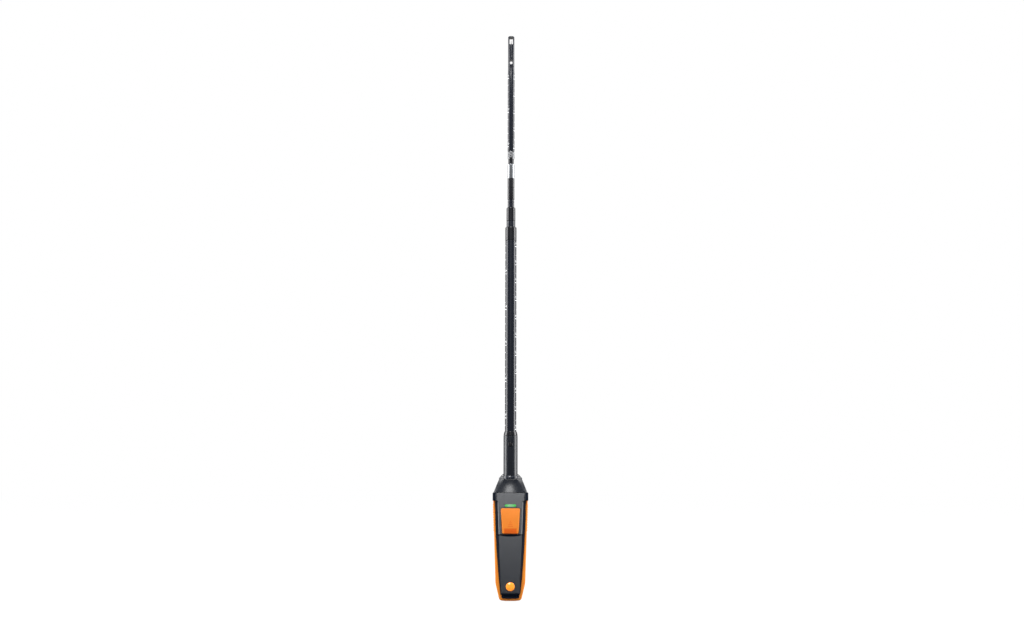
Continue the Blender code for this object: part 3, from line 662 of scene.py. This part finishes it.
def along(points, count):
    """Points evenly spaced along a line."""
    lengths = [0.0]
    for a, b in zip(points, points[1:]):
        lengths.append(lengths[-1] + (Vector(b) - Vector(a)).length)
    out = []
    k = 0
    for i in range(count + 1):
        want = lengths[-1] * i / count
        while k < len(points) - 2 and lengths[k + 1] < want:
            k += 1
        t = (want - lengths[k]) / max(lengths[k + 1] - lengths[k], 1e-9)
        out.append(tuple(Vector(points[k]).lerp(Vector(points[k + 1]), min(t, 1.0))))
    return out


def front_outline(outset, top, steps=10):
    """The right half of the front shell's outline, grown by an outset, top to bottom."""
    floor = SHELL_BOTTOM - outset
    radius = SHELL_CORNER + outset
    points = []
    for i in range(31):
        z = top + (floor + radius - top) * i / 30
        points.append((front_half_width(z) + outset, z))
    width = points[-1][0]
    corner = arc((width - radius, floor + radius), radius, 0, -90, steps)
    return points + corner[1:] + [(0.0, floor)]


def rib_rise(z, pitch):
    """The height of the grip's ribs at a level: a row of rounded bumps beside the key."""
    low, high = 92.0, 128.0
    if not low < z < high:
        return 0.0
    return 0.6 * abs(math.sin(math.pi * (z - low) / pitch)) ** 0.8


def build_grip_band(pitch):
    """A soft band round the sides and the bottom, swept along the handle's outline."""
    top = COLLAR_BOTTOM - GAP
    count = 260
    outer = along(band_outline(0.0, top), count)
    rim = along(band_outline(2.4, top), count)
    lip = along(front_outline(GAP, top), count)
    rows = []
    for (ox, oz), (rx, rz), (lx, lz) in zip(outer, rim, lip):
        out = Vector((ox, oz))
        inward = (Vector((rx, rz)) - out).normalized()
        rib = rib_rise(oz, pitch)
        row = [(lx, SPLIT_Y, lz), (lx, BAND_FRONT + 0.3, lz)]
        front_in = Vector((lx, lz)) - inward * 0.3
        row.append((front_in.x, BAND_FRONT, front_in.y))
        for i in range(6):
            angle = math.radians(90 * i / 5)
            here = out + inward * (1.2 * (1 - math.sin(angle)) - rib * math.sin(angle))
            row.append((here.x, BAND_FRONT + 1.2 * (1 - math.cos(angle)), here.y))
        for i in range(1, 6):
            here = out - inward * rib
            span = BAND_BACK - BAND_FRONT - 2.2
            row.append((here.x, BAND_FRONT + 1.2 + span * i / 6, here.y))
        for i in range(5):
            angle = math.radians(90 * i / 4)
            here = out + inward * (1.0 * (1 - math.cos(angle)) - rib * math.cos(angle))
            row.append((here.x, BAND_BACK - 1.0 * (1 - math.sin(angle)), here.y))
        row.append((rx, BAND_BACK, rz))
        row.append((rx, SPLIT_Y, rz))
        rows.append(row)
    left = [[(-x, y, z) for x, y, z in row] for row in reversed(rows[:-1])]
    bm, verts = grid_mesh(rows + left, closed_columns=True)
    bm.faces.new(reversed(verts[0]))
    bm.faces.new(verts[-1])
    band = mesh_object("grip_strip", bm)
    place(band, "handle", "orange_tpe", ("soft_orange_rubber",), "grip_band")


# --- the collar, key, lamp and badge ----------------------------------------------------

def build_collar():
    outside = rounded([(0, 19.0), (24.1, 19.0), (24.1, -15.2), (20.4, -17.5), (18.6, -17.95)],
                      (6.0, 1.4, 0.8), 8)
    inside = [(21.2, -12.0), (21.2, 12.5), (18.0, 15.4), (0, 15.4)]
    half = outside + inside
    outline = half + [(-x, y) for x, y in reversed(half[1:-1])]
    collar = pushed("handle_collar", outline, COLLAR_BOTTOM, HANDLE_TOP, "Z", 0.6)
    place(collar, "handle", "black_abs",
          ("smooth_black_abs", "textured_charcoal_abs", "matt_black_abs"), "top_collar")
    # Forward faces beyond the panel get matt black: painted shade on the collar's side slopes and
    # corners.
    for face in collar.data.polygons:
        centre = face.center / MM
        if face.normal.y < -0.2:
            face.material_index = 1 if face.normal.y < -0.9 and abs(centre.x) < 20.4 else 2


def build_key():
    """The key cap: straight sides, eased edges, a crease and a sloping lower end."""
    low = BUTTON_Z[0]
    key = pushed("measure_key", button_outline(0.0, 8), -19.0, -15.2, "Y", 0.7, 4)
    joined(key, pushed("key_flange", button_outline(1.2), -15.9, -15.0))
    wedge = [(-20.0, low - 1), (-20.0, low + 6.8), (-19.0, low + 6.8), (-17.3, low - 1)]
    slope = loft("key_slope", [[(x, y, z) for y, z in wedge] for x in (-8.4, 8.4)])
    crease = pushed("key_crease", [(-8.6, 107.9), (8.6, 107.9), (8.6, 108.3), (-8.6, 108.3)],
                    -19.5, -18.85)
    cut(key, slope, crease)
    place(key, "measure_button", "orange_abs", ("satin_orange_abs", "deep_orange_abs"),
          "measure_button")
    # The sloping lower end gets the darker orange: painted shade.
    for face in key.data.polygons:
        centre = face.center / MM
        sloping = -0.995 < face.normal.y < -0.9 and face.normal.z < -0.15
        if sloping and centre.z < low + 6.9 and abs(centre.x) < 8.3:
            face.material_index = 1
    for i, (half, z) in enumerate(((0.8, 105.8), (1.7, 103.6), (2.6, 101.4), (3.5, 99.2))):
        dash = pushed(f"key_dash_{i + 1}", [(-half, z - 0.45), (half, z - 0.45),
                                            (half, z + 0.45), (-half, z + 0.45)],
                      -19.03, -18.7, "Y", 0.08)
        place(dash, "measure_button", "orange_abs", ("deep_orange_abs",))


def build_lamp_and_badge():
    lamp = pushed("lamp_lens", light_outline(0.0), -18.35, -13.4, "Y", 0.35, 4)
    place(lamp, "handle", "green_light", ("green_acrylic",), "status_light")
    dome = arc((0.0, 0.0), BADGE_R, 90, 0, 16, BADGE_DOME)[1:]
    profile = [(0.0, BADGE_DOME)] + dome + [(BADGE_R, -0.5), (0.0, -0.5)]
    badge = turned("round_badge", profile, 72)
    badge.data.transform(Matrix.Rotation(math.radians(90), 4, "X"))
    badge.data.transform(Matrix.Translation((0, (GRIP_Y + 0.2) * MM, BADGE_Z * MM)))
    place(badge, "handle", "orange_abs", ("polished_orange_abs",), "badge")


# --- the adapter ------------------------------------------------------------------------

def cone_section(z, inset):
    """One level of the adapter's hood: a shallow bell in front and behind, and a rim each side."""
    t = min(1.0, (z - CONE_BOTTOM) / (CONE_TOP - CONE_BOTTOM))
    wing = between(((144.0, 22.9), (161.2, 15.8), (163.0, 15.8), (164.6, 14.5), (168.4, 10.5)), z)
    bell = between(((144.0, 20.3), (161.2, 9.4), (163.0, 6.4), (164.6, 6.0), (168.4, 5.6)), z)
    rim = between(((144.0, 10.9), (161.2, 3.4), (163.0, 1.7), (168.4, 1.2)), z)
    depth = 10.0 + 7.8 * (1.0 - t) ** 1.55 - inset
    bell -= 0.5 * inset
    shoulder = depth - 0.22 * bell
    half = [(bell * i / 8, depth - 0.22 * bell * (i / 8) ** 2) for i in range(9)]
    edge = wing - inset
    rim = min(rim, shoulder - 0.4)
    half += [(bell + (edge - bell) * i / 4, shoulder + (rim - shoulder) * i / 4)
             for i in range(1, 5)]
    half += [(edge, rim * 0.5), (edge, 0.0)]
    right = [(x, -y) for x, y in half] + [(x, y) for x, y in reversed(half[:-1])]
    ring = right + [(-x, y) for x, y in reversed(right[1:-1])]
    return [(x, y, z) for x, y in ring]


def build_cone():
    levels = [CONE_BOTTOM + (CONE_TOP - CONE_BOTTOM) * i / 24 for i in range(25)]
    levels += [162.1, 163.0, 163.8, 164.6, 165.8, 167.1, 168.4]
    cone = loft("adapter_hood", [cone_section(z, 0.0) for z in levels], 28)
    hollow = [CONE_BOTTOM - 2 + (157.0 - CONE_BOTTOM + 2) * i / 8 for i in range(9)]
    cut(cone, loft("hood_hollow", [cone_section(z, 2.2) for z in hollow]))
    cut(cone, turned("hood_bore", [(0, 175), (10.0, 175), (10.0, 160.2), (0, 160.2)]))
    cut(cone, turned("ring_recess", [(0, 167.0), (11.4, 167.0), (11.4, 161.2), (0, 161.2)]))
    cut(cone, turned("wire_hole", [(0, 165), (4.0, 165), (4.0, 150), (0, 150)], 48))
    place(cone, "adapter", "satin_black", ("smooth_black_abs",), "adapter_cone")
    softened(cone, 0.25)


def bead_profile(radius, height, wire, stretch, points=16):
    """A closed oval section for a bead round a tube."""
    return arc((radius, height), wire, 90, -270, points, wire * stretch)[:-1]


def build_sleeve():
    ring = turned("neck_bead", bead_profile(10.3, 163.9, 0.8, 3.1, 24))
    place(ring, "adapter", "satin_black", ("smooth_black_abs",), "neck_ring")
    sleeve = turned("socket_sleeve", ring_profile(*SLEEVE, 0.35))
    cut(sleeve, rod_y("button_hole", (0, RELEASE_Z), 3.3, -12, -5))
    place(sleeve, "adapter", "satin_black", ("smooth_black_abs",), "adapter_sleeve")
    softened(sleeve, 0.15)
    cap = [(8.0, 226.3), (8.3, 226.3), (8.5, 226.1), (8.6, 225.8), (9.62, 221.7), (9.7, 221.4),
           (9.7, 220.9), (9.5, 220.7), (8.0, 220.7)]
    place(turned("sleeve_end", cap), "adapter", "gloss_black", ("polished_black_nylon",),
          "sleeve_cap")
    dome = [(0.0, 0.35)] + arc((2.3, -0.35), 0.7, 90, 0, 5)[1:] + [(3.0, -1.2), (0.0, -1.2)]
    knob = turned("catch_button", dome, 48)
    knob.data.transform(Matrix.Rotation(math.radians(90), 4, "X"))
    knob.data.transform(Matrix.Translation((0, -SLEEVE[0] * MM, RELEASE_Z * MM)))
    place(knob, "release_button", "gloss_black", ("polished_black_nylon",), "release_button")


# --- the telescope ----------------------------------------------------------------------

def end_collar(outer, inner, bottom, top, radius=1.5, steps=6):
    """A sleeve over a tube's end, with a round upper edge."""
    upper = arc((outer - radius, top - radius), radius, 90, 0, steps)
    return ([(inner, top)] + upper
            + [(outer, bottom + 0.2), (outer - 0.2, bottom), (inner, bottom)])


def build_telescope():
    tube = ("black_anodised_aluminium",)
    gloss = ("polished_black_nylon",)
    place(turned("base_tube", ring_profile(*BASE_TUBE, 0.15)), "stage_a",
          "satin_black", tube, "tube_a")
    place(turned("base_tube_end", end_collar(*BASE_COLLAR)), "stage_a",
          "gloss_black", gloss, "collar_a")
    place(turned("middle_tube", ring_profile(*MIDDLE_TUBE, 0.12)), "stage_b",
          "satin_black", tube, "tube_b")
    place(turned("middle_tube_end", end_collar(*MIDDLE_COLLAR)), "stage_b",
          "gloss_black", gloss, "collar_b")
    ridges = [(3.9, 550.7), (4.25, 550.7), (4.25, 549.1), (4.55, 549.0), (4.55, 546.5),
              (4.3, 546.3), (4.3, 545.5), (4.55, 545.3), (4.55, 306.5), (4.35, 306.3),
              (3.9, 306.3)]
    place(turned("top_tube", ridges), "stage_c", "satin_black", tube, "tube_c")


def build_coupling():
    grip = [(4.0, 581.2), (4.65, 581.2), (4.8, 581.1), (4.85, 580.9), (4.85, 568.0),
            (4.6, 567.7), (4.6, 566.6), (4.85, 566.3), (4.85, 551.3), (4.75, 551.1),
            (4.6, 551.0), (4.0, 551.0)]
    place(turned("coupling_grip", grip), "stage_c", "gloss_black", ("polished_black_nylon",),
          "coupling_sleeve")
    place(turned("chrome_ferrule", ring_profile(*FERRULE, 0.4)), "stage_c",
          "chrome", ("bright_chrome",), "ferrule")
    neck = [(1.8, 640.0), (3.1, 640.0), (3.1, 609.4), (3.75, 609.4), (3.95, 609.2),
            (3.95, 602.3), (3.75, 602.1), (3.1, 602.1), (3.1, 570.0), (1.8, 570.0)]
    place(turned("neck_tube", neck), "stage_c", "gloss_black", ("polished_black_nylon",),
          "neck_core")


def build_nut(pitch):
    """The knurled nut: a diamond knurl between two plain chamfered ends."""
    low, high = 609.7, 620.3
    radius, depth = 4.8, 0.22
    start, end = low + 1.9, high - 0.9
    steps, rows = 152, 44
    around = round(2 * math.pi * radius / pitch)
    levels = [(3.4, low), (4.3, low), (4.7, low + 0.7), (4.7, low + 1.2), (4.45, low + 1.35),
              (4.45, start - 0.1)]
    bm = bmesh.new()

    def plain_ring(r, z):
        return [bm.verts.new((x, y, z)) for x, y in circle(r, steps)]

    rings = [plain_ring(r, z) for r, z in levels]
    for k in range(rows + 1):
        z = start + (end - start) * k / rows
        ring = []
        for i in range(steps):
            turn = around * i / steps
            climb = (z - start) / pitch
            first = abs(((turn + climb) % 1.0) - 0.5)
            second = abs(((turn - climb) % 1.0) - 0.5)
            r = radius - depth * 2 * max(first, second)
            angle = 2 * math.pi * i / steps
            ring.append(bm.verts.new((r * math.cos(angle), r * math.sin(angle), z)))
        rings.append(ring)
    rings += [plain_ring(r, z) for r, z in ((4.5, end + 0.1), (4.6, end + 0.3), (4.4, high),
                                            (3.4, high))]
    for lower, upper in zip(rings, rings[1:] + rings[:1]):
        for i in range(steps):
            j = (i + 1) % steps
            bm.faces.new((lower[i], lower[j], upper[j], upper[i]))
    nut = mesh_object("knurled_nut", bm, 25)
    place(nut, "coupling_nut", "nickel", ("nickel_plate",), "coupling_nut")


# --- the head ---------------------------------------------------------------------------

def build_head():
    head = [(3.7, 744.5), (4.3, 744.5), (4.45, 744.35), (4.6, 738.0), (4.75, 735.4),
            (4.8, 735.0), (4.8, 621.0), (4.6, 620.6), (3.7, 620.6)]
    place(turned("head_barrel", head), "stage_c", "satin_black",
          ("black_anodised_aluminium",), "head_tube")
    profile = [(0.0, TIP_TOP)]
    for i in range(7):
        angle = math.radians(90 * i / 6)
        profile.append((TIP_R - TIP_EDGE + TIP_EDGE * math.sin(angle),
                        TIP_TOP - TIP_EDGE + TIP_EDGE * math.cos(angle)))
    profile += [(TIP_R, 745.1), (TIP_R - 0.2, TIP_BOTTOM), (0.0, TIP_BOTTOM)]
    tip = turned("sensor_guard", profile)
    start = WINDOW_Z[0] + 1
    cut(tip, pushed("window", slot_outline(WINDOW_HALF, *WINDOW_Z, 0.8), -8, 8),
        pushed("vent", slot_outline(VENT_HALF, *VENT_Z, 1.7), -8, 8),
        turned("stem_bore", [(0, start), (0.7, start), (0.7, 760), (0, 760)], 32))
    place(tip, "stage_c", "satin_black", ("black_anodised_aluminium",), "probe_tip")
    softened(tip, 0.12)


def slot_outline(half, low, high, radius):
    """An upright opening with rounded corners."""
    return mirrored(rounded([(0, high), (half, high), (half, low), (0, low)],
                            (radius, radius), 6))


# --- the printed scales -----------------------------------------------------------------

def line_strip(radius, z, start, end, height, rise):
    """One thin printed line round part of a tube, as its rows of corner points."""
    steps = max(2, int(abs(end - start) / 6))
    rows = []
    for i in range(steps + 1):
        angle = math.radians(start + (end - start) * i / steps)
        corners = ((radius + rise, 0.5), (radius + rise, -0.5), (radius, -0.5), (radius, 0.5))
        rows.append([(out * math.cos(angle), out * math.sin(angle), z + height * side)
                     for out, side in corners])
    return rows


def digits(text, radius, z, centre, height, rise):
    """A number wrapped round a tube, as a mesh in millimetres."""
    curve = bpy.data.curves.new("scale_number", "FONT")
    curve.body = text
    curve.size = height
    curve.align_x = "CENTER"
    curve.align_y = "CENTER"
    curve.extrude = rise / 2
    holder = bpy.data.objects.new("scale_number", curve)
    bpy.context.scene.collection.objects.link(holder)
    graph = bpy.context.evaluated_depsgraph_get()
    mesh = bpy.data.meshes.new_from_object(holder.evaluated_get(graph))
    bpy.data.objects.remove(holder)
    middle = math.radians(centre)
    for vert in mesh.vertices:
        angle = middle + vert.co.x / radius
        out = radius + rise / 2 + vert.co.z
        vert.co = (out * math.cos(angle), out * math.sin(angle), z + vert.co.y)
    return mesh


def printed_scale(name, body, radius, marks, numbers, rise):
    bm = bmesh.new()
    for z, start, end, height in marks:
        rows = line_strip(radius, z, start, end, height, rise)
        verts = [[bm.verts.new(point) for point in row] for row in rows]
        for lower, upper in zip(verts, verts[1:]):
            for j in range(4):
                k = (j + 1) % 4
                bm.faces.new((lower[j], lower[k], upper[k], upper[j]))
        bm.faces.new(verts[0])
        bm.faces.new(reversed(verts[-1]))
    for text, z, centre, height in numbers:
        mesh = digits(text, radius, z, centre, height, rise)
        bm.from_mesh(mesh)
        bpy.data.meshes.remove(mesh)
    scale = mesh_object(name, bm)
    place(scale, body, "satin_black", ("white_print_ink",))


def scale_marks(top, bottom, spacing, side, long_every, offset, reach, height):
    """Lines down one side of a tube, each long_every-th one longer.

    The reach is a short line's and a long line's length, and how far in front of the tube's
    side a line starts, all in degrees.
    """
    short, long, ahead = reach
    marks = []
    count = int((top - bottom) / spacing + 0.5)
    for i in range(count + 1):
        z = top - spacing * i
        length = long if (i - offset) % long_every == 0 else short
        if side == "left":
            marks.append((z, 180 + ahead, 180 + ahead + length, height))
        else:
            marks.append((z, 360 - ahead, 360 - ahead - length, height))
    return marks


def build_scales(rise, line):
    """Centimetres on the left of the base tube and the head, inches on the right."""
    marks = scale_marks(484.8, 234.8, 10.0, "left", 5, 4, (14, 30, 10), line)
    marks += scale_marks(483.4, 229.7, 12.7, "right", 2, 0, (14, 30, 10), line)
    numbers = [(str(35 + 5 * i), 449.2 - 50 * i, 207, 4.4) for i in range(5)]
    numbers += [(str(12 + i), 487.6 - 25.4 * i, 333, 4.4) for i in range(11)]
    printed_scale("base_tube_scale", "stage_a", BASE_TUBE[0], marks, numbers, rise)
    marks = scale_marks(727.2, 627.2, 10.0, "left", 5, 0, (16, 34, 10), line)
    marks += scale_marks(726.5, 624.9, 12.7, "right", 2, 0, (16, 34, 10), line)
    numbers = [(str(5 + 5 * i), 731.4 - 50 * i, 212, 3.6) for i in range(3)]
    numbers += [(str(2 + i), 730.6 - 25.4 * i, 328, 3.6) for i in range(5)]
    printed_scale("head_scale", "stage_c", HEAD_R, marks, numbers, rise)


# --- the stage --------------------------------------------------------------------------

def soft_box(name, width, height, azimuth, rise, distance, middle, power):
    """A rectangular studio light that faces a point. Azimuth 0 is in front, rise is upwards."""
    lamp = bpy.data.lights.new(name, "AREA")
    lamp.shape = "RECTANGLE"
    lamp.size = width
    lamp.size_y = height
    lamp.energy = power
    holder = bpy.data.objects.new(name, lamp)
    turn, lift = math.radians(azimuth), math.radians(rise)
    away = Vector((math.sin(turn) * math.cos(lift), -math.cos(turn) * math.cos(lift),
                   math.sin(lift)))
    holder.location = Vector(middle) + away * distance
    holder.rotation_euler = (-away).to_track_quat("-Z", "Y").to_euler()
    holder.visible_camera = False
    bpy.context.scene.collection.objects.link(holder)
    return holder


def only_on(holder, *names):
    """Masks a light, as flags on stands would, so that it reaches only these pieces."""
    group = bpy.data.collections.new(holder.name + "_reach")
    for name in names:
        group.objects.link(bpy.data.objects[name])
    holder.light_linking.receiver_collection = group


def build_world(settings):
    """White behind the object, dimmer in front of it, and plain white to the camera."""
    world = bpy.data.worlds.new("studio")
    world.use_nodes = True
    tree = world.node_tree
    tree.nodes.clear()
    direction = add(tree, "ShaderNodeTexCoord").outputs["Generated"]
    parts = add(tree, "ShaderNodeSeparateXYZ", Vector=direction)
    behind = spread(tree, parts.outputs["Y"], settings.front_light, settings.back_light, -0.1, 0.6)
    path = add(tree, "ShaderNodeLightPath")
    strength = add(tree, "ShaderNodeMix", {"data_type": "FLOAT"})
    tree.links.new(path.outputs["Is Camera Ray"], strength.inputs[0])
    tree.links.new(behind, strength.inputs[2])
    strength.inputs[3].default_value = 1.0
    glow = add(tree, "ShaderNodeBackground", Color=(1.0, 1.0, 1.0, 1.0),
               Strength=strength.outputs[0])
    add(tree, "ShaderNodeOutputWorld", Surface=glow.outputs["Background"])
    bpy.context.scene.world = world


def build_floor():
    """A wide pale floor, almost evenly white, so that only a faint shadow shows."""
    made, tree, coords = new_material("white_sweep_paper")
    tooth = add(tree, "ShaderNodeTexNoise", Vector=coords, Scale=per_mm(40.0), Detail=2.0)
    colour = tint(tree, tooth.outputs["Fac"], (0.10, 0.10, 0.10, 1.0), (0.11, 0.11, 0.11, 1.0))
    bsdf = add(tree, "ShaderNodeBsdfPrincipled", Base_Color=colour, Roughness=0.9,
               Emission_Color=(1.0, 1.0, 1.0, 1.0), Emission_Strength=0.96)
    bsdf.inputs["Specular IOR Level"].default_value = 0.0
    finish_surface(tree, bsdf)
    bm = bmesh.new()
    bm.faces.new([bm.verts.new((x / MM, y / MM, FLOOR_LEVEL)) for x, y in circle(FLOOR_R, 96)])
    floor = mesh_object("floor", bm)
    floor.data.materials.append(made)
    floor.visible_diffuse = False
    floor.visible_glossy = False


def build_camera(settings):
    camera = bpy.data.cameras.new("camera")
    camera.lens = settings.lens
    camera.sensor_width = 36.0
    camera.clip_start = 0.05
    holder = bpy.data.objects.new("camera", camera)
    rise = math.radians(settings.elevation)
    aim = Vector((settings.aim_side, 0.0, settings.aim_height))
    holder.location = aim + Vector((0, -math.cos(rise), math.sin(rise))) * settings.distance
    level = (aim - holder.location).to_track_quat("-Z", "Y")
    roll = Quaternion((0.0, 0.0, 1.0), math.radians(settings.roll))
    holder.rotation_euler = (level @ roll).to_euler()
    bpy.context.scene.collection.objects.link(holder)
    bpy.context.scene.camera = holder


# --- what a user can change -------------------------------------------------------------

def a_length(name, description, default, low):
    return FloatProperty(name=name, description=description, default=default, min=low,
                         unit="LENGTH", precision=6)


def a_power(name, description, default):
    return FloatProperty(name=name, description=description, default=default, min=0.0,
                         unit="POWER")


def a_colour(name, description, hex_code):
    return FloatVectorProperty(name=name, description=description, default=srgb(hex_code),
                               subtype="COLOR")


class ProbeSizes(bpy.types.PropertyGroup):
    rib_pitch: a_length("Rib pitch", "Spacing of the ribs on the grip band", 0.0034, 0.002)
    knurl_pitch: a_length("Knurl pitch", "Spacing of the diamonds on the coupling nut",
                          0.00101, 0.0004)
    print_rise: a_length("Print thickness", "How proud the printed scales stand",
                         0.00003, 0.00001)
    line_height: a_length("Scale line", "Height of a line in the printed scales",
                          0.0009, 0.0001)


class ProbeColours(bpy.types.PropertyGroup):
    charcoal: a_colour("Panel", "Colour of the textured front panel", "#151920")
    black: a_colour("Case", "Colour of the smooth case and adapter", "#10151e")
    orange: a_colour("Grip", "Colour of the soft grip band", "#f6912c")
    key: a_colour("Key", "Colour of the key and the badge", "#f3892a")
    # The key's dashes, and painted shade on the key's sloping lower end.
    key_dash_and_shade: a_colour("Key end", "Colour of the key's lower slope and dashes", "#e8650c")
    lamp: a_colour("Lamp", "Colour of the status lamp's lens", "#4fbf5b")
    anodised: a_colour("Tubes", "Colour of the anodised tubes", "#111620")
    gloss_black: a_colour("Gloss black", "Colour of the polished black pieces", "#121318")
    ink: a_colour("Ink", "Colour of the printed scales", "#eceef0")


class ProbeStudio(bpy.types.PropertyGroup):
    distance: FloatProperty(
        name="Camera distance", description="From the camera to the point it looks at",
        default=1.6, min=0.3, unit="LENGTH")
    aim_side: FloatProperty(
        name="Aim offset", description="How far to the right of the axis the camera looks",
        default=0.0017, unit="LENGTH")
    roll: FloatProperty(name="Roll", description="Camera roll in degrees", default=0.09)
    aim_height: FloatProperty(
        name="Aim height", description="Height of the point the camera looks at",
        default=0.3805, unit="LENGTH")
    elevation: FloatProperty(
        name="Camera elevation", description="Angle of the camera above the level, in degrees",
        default=-7.4)
    lens: FloatProperty(name="Lens", description="Focal length in mm", default=40.52)
    side_power: a_power("Side lights", "Power of each tall side light", 22.0)
    front_power: a_power("Front light box", "Power of the narrow box in front", 0.9)
    top_power: a_power("Top light", "Power of the box above the front", 7.0)
    sheen_power: a_power("Sheen light", "Power of the masked box near the handle's top", 5.0)
    glint_power: a_power("Glint light", "Power of the masked box for the badge and the bead",
                         7.0)
    fill_power: a_power("Fill light", "Power of the wide light that only fills shadows", 45.0)
    front_light: FloatProperty(
        name="Front light", description="Brightness of the surroundings in front", default=0.22)
    back_light: FloatProperty(
        name="Back light", description="Brightness of the surroundings behind", default=0.6)


# --- operators --------------------------------------------------------------------------

class ProbeFinishes(bpy.types.Operator):
    """Makes the materials and gives them to the CAD nodes that stay in view"""
    bl_idname = "probe.finishes"
    bl_label = "Finishes"

    def execute(self, context):
        colours = context.scene.probe_colours
        make_plastics(colours)
        make_metals(colours)
        make_light_guide(colours)
        make_board()
        make_cell_film()
        make_ceramic()
        for finish, nodes in NODE_FINISHES.items():
            for name in nodes:
                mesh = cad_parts[name].data
                mesh.materials.clear()
                mesh.materials.append(material(finish))
        return {"FINISHED"}


class ProbeHousing(bpy.types.Operator):
    """Builds the front shell, the grip band and the collar"""
    bl_idname = "probe.housing"
    bl_label = "Housing"

    def execute(self, context):
        build_front_shell()
        build_grip_band(context.scene.probe_sizes.rib_pitch / MM)
        build_collar()
        return {"FINISHED"}


class ProbeControls(bpy.types.Operator):
    """Builds the key, the lamp and the badge"""
    bl_idname = "probe.controls"
    bl_label = "Key, lamp and badge"

    def execute(self, context):
        build_key()
        build_lamp_and_badge()
        return {"FINISHED"}


class ProbeAdapter(bpy.types.Operator):
    """Builds the adapter's hood, sleeve and catch button"""
    bl_idname = "probe.adapter"
    bl_label = "Adapter"

    def execute(self, context):
        build_cone()
        build_sleeve()
        return {"FINISHED"}


class ProbeTelescope(bpy.types.Operator):
    """Builds the telescope's tubes and their end collars"""
    bl_idname = "probe.telescope"
    bl_label = "Telescope"

    def execute(self, context):
        build_telescope()
        return {"FINISHED"}


class ProbeCoupling(bpy.types.Operator):
    """Builds the coupling between the telescope and the head, with its knurled nut"""
    bl_idname = "probe.coupling"
    bl_label = "Coupling"

    def execute(self, context):
        build_coupling()
        build_nut(context.scene.probe_sizes.knurl_pitch / MM)
        return {"FINISHED"}


class ProbeHead(bpy.types.Operator):
    """Builds the head's barrel and the guard round the sensor"""
    bl_idname = "probe.head"
    bl_label = "Sensor head"

    def execute(self, context):
        build_head()
        return {"FINISHED"}


class ProbeScales(bpy.types.Operator):
    """Prints the centimetre and inch scales on the base tube and the head"""
    bl_idname = "probe.scales"
    bl_label = "Printed scales"

    def execute(self, context):
        sizes = context.scene.probe_sizes
        build_scales(sizes.print_rise / MM, sizes.line_height / MM)
        return {"FINISHED"}


class ProbeStage(bpy.types.Operator):
    """Sets up the floor, the lights, the surroundings and the camera"""
    bl_idname = "probe.stage"
    bl_label = "Studio"

    def execute(self, context):
        studio = context.scene.probe_studio
        shaft, handle = (0.0, 0.0, 0.42), (0.0, 0.0, 0.14)
        for name, azimuth in (("left_box", -90.0), ("right_box", 90.0)):
            soft_box(name, 0.66, 1.7, azimuth, 0.0, 1.05, shaft, studio.side_power)
        soft_box("front_box", 0.55, 1.4, 0.0, 32.0, 1.5, handle, studio.front_power)
        soft_box("top_box", 0.45, 0.5, -6.0, 60.0, 1.3, handle, studio.top_power)
        fill = soft_box("fill_box", 2.4, 2.0, 0.0, 22.0, 2.6, shaft, studio.fill_power)
        fill.visible_glossy = False
        sheen = soft_box("sheen_box", 0.5, 0.2, 0.0, 4.0, 0.75, (0.0, 0.0, 0.19),
                         studio.sheen_power)
        sheen.visible_diffuse = False
        only_on(sheen, "front_housing", "handle_collar")
        glint = soft_box("glint_box", 0.3, 0.22, -16.0, 27.0, 0.9, (0.0, 0.0, 0.1),
                         studio.glint_power)
        only_on(glint, "round_badge", "neck_bead")
        build_world(studio)
        build_floor()
        build_camera(studio)
        context.scene.view_settings.view_transform = "Standard"
        return {"FINISHED"}


OPERATORS = (ProbeFinishes, ProbeHousing, ProbeControls, ProbeAdapter, ProbeTelescope,
             ProbeCoupling, ProbeHead, ProbeScales, ProbeStage)


class ProbePanel(bpy.types.Panel):
    """Lists the probe's pieces and settings"""
    bl_idname = "VIEW3D_PT_probe"
    bl_label = "Air-velocity probe"
    bl_space_type = "VIEW_3D"
    bl_region_type = "UI"
    bl_category = "Probe"

    def draw(self, context):
        column = self.layout.column()
        for group in (context.scene.probe_sizes, context.scene.probe_colours,
                      context.scene.probe_studio):
            for name in group.__annotations__:
                column.prop(group, name)
        for operator in OPERATORS:
            column.operator(operator.bl_idname)


CLASSES = (ProbeSizes, ProbeColours, ProbeStudio, *OPERATORS, ProbePanel)


def register():
    for made in CLASSES:
        bpy.utils.register_class(made)
    bpy.types.Scene.probe_sizes = PointerProperty(type=ProbeSizes)
    bpy.types.Scene.probe_colours = PointerProperty(type=ProbeColours)
    bpy.types.Scene.probe_studio = PointerProperty(type=ProbeStudio)


def unregister():
    del bpy.types.Scene.probe_studio
    del bpy.types.Scene.probe_colours
    del bpy.types.Scene.probe_sizes
    for made in reversed(CLASSES):
        bpy.utils.unregister_class(made)


def main():
    register()
    for operator in OPERATORS:
        group, name = operator.bl_idname.split(".")
        getattr(getattr(bpy.ops, group), name)()
    bpy.context.view_layer.update()


if __name__ == "__main__":
    main()
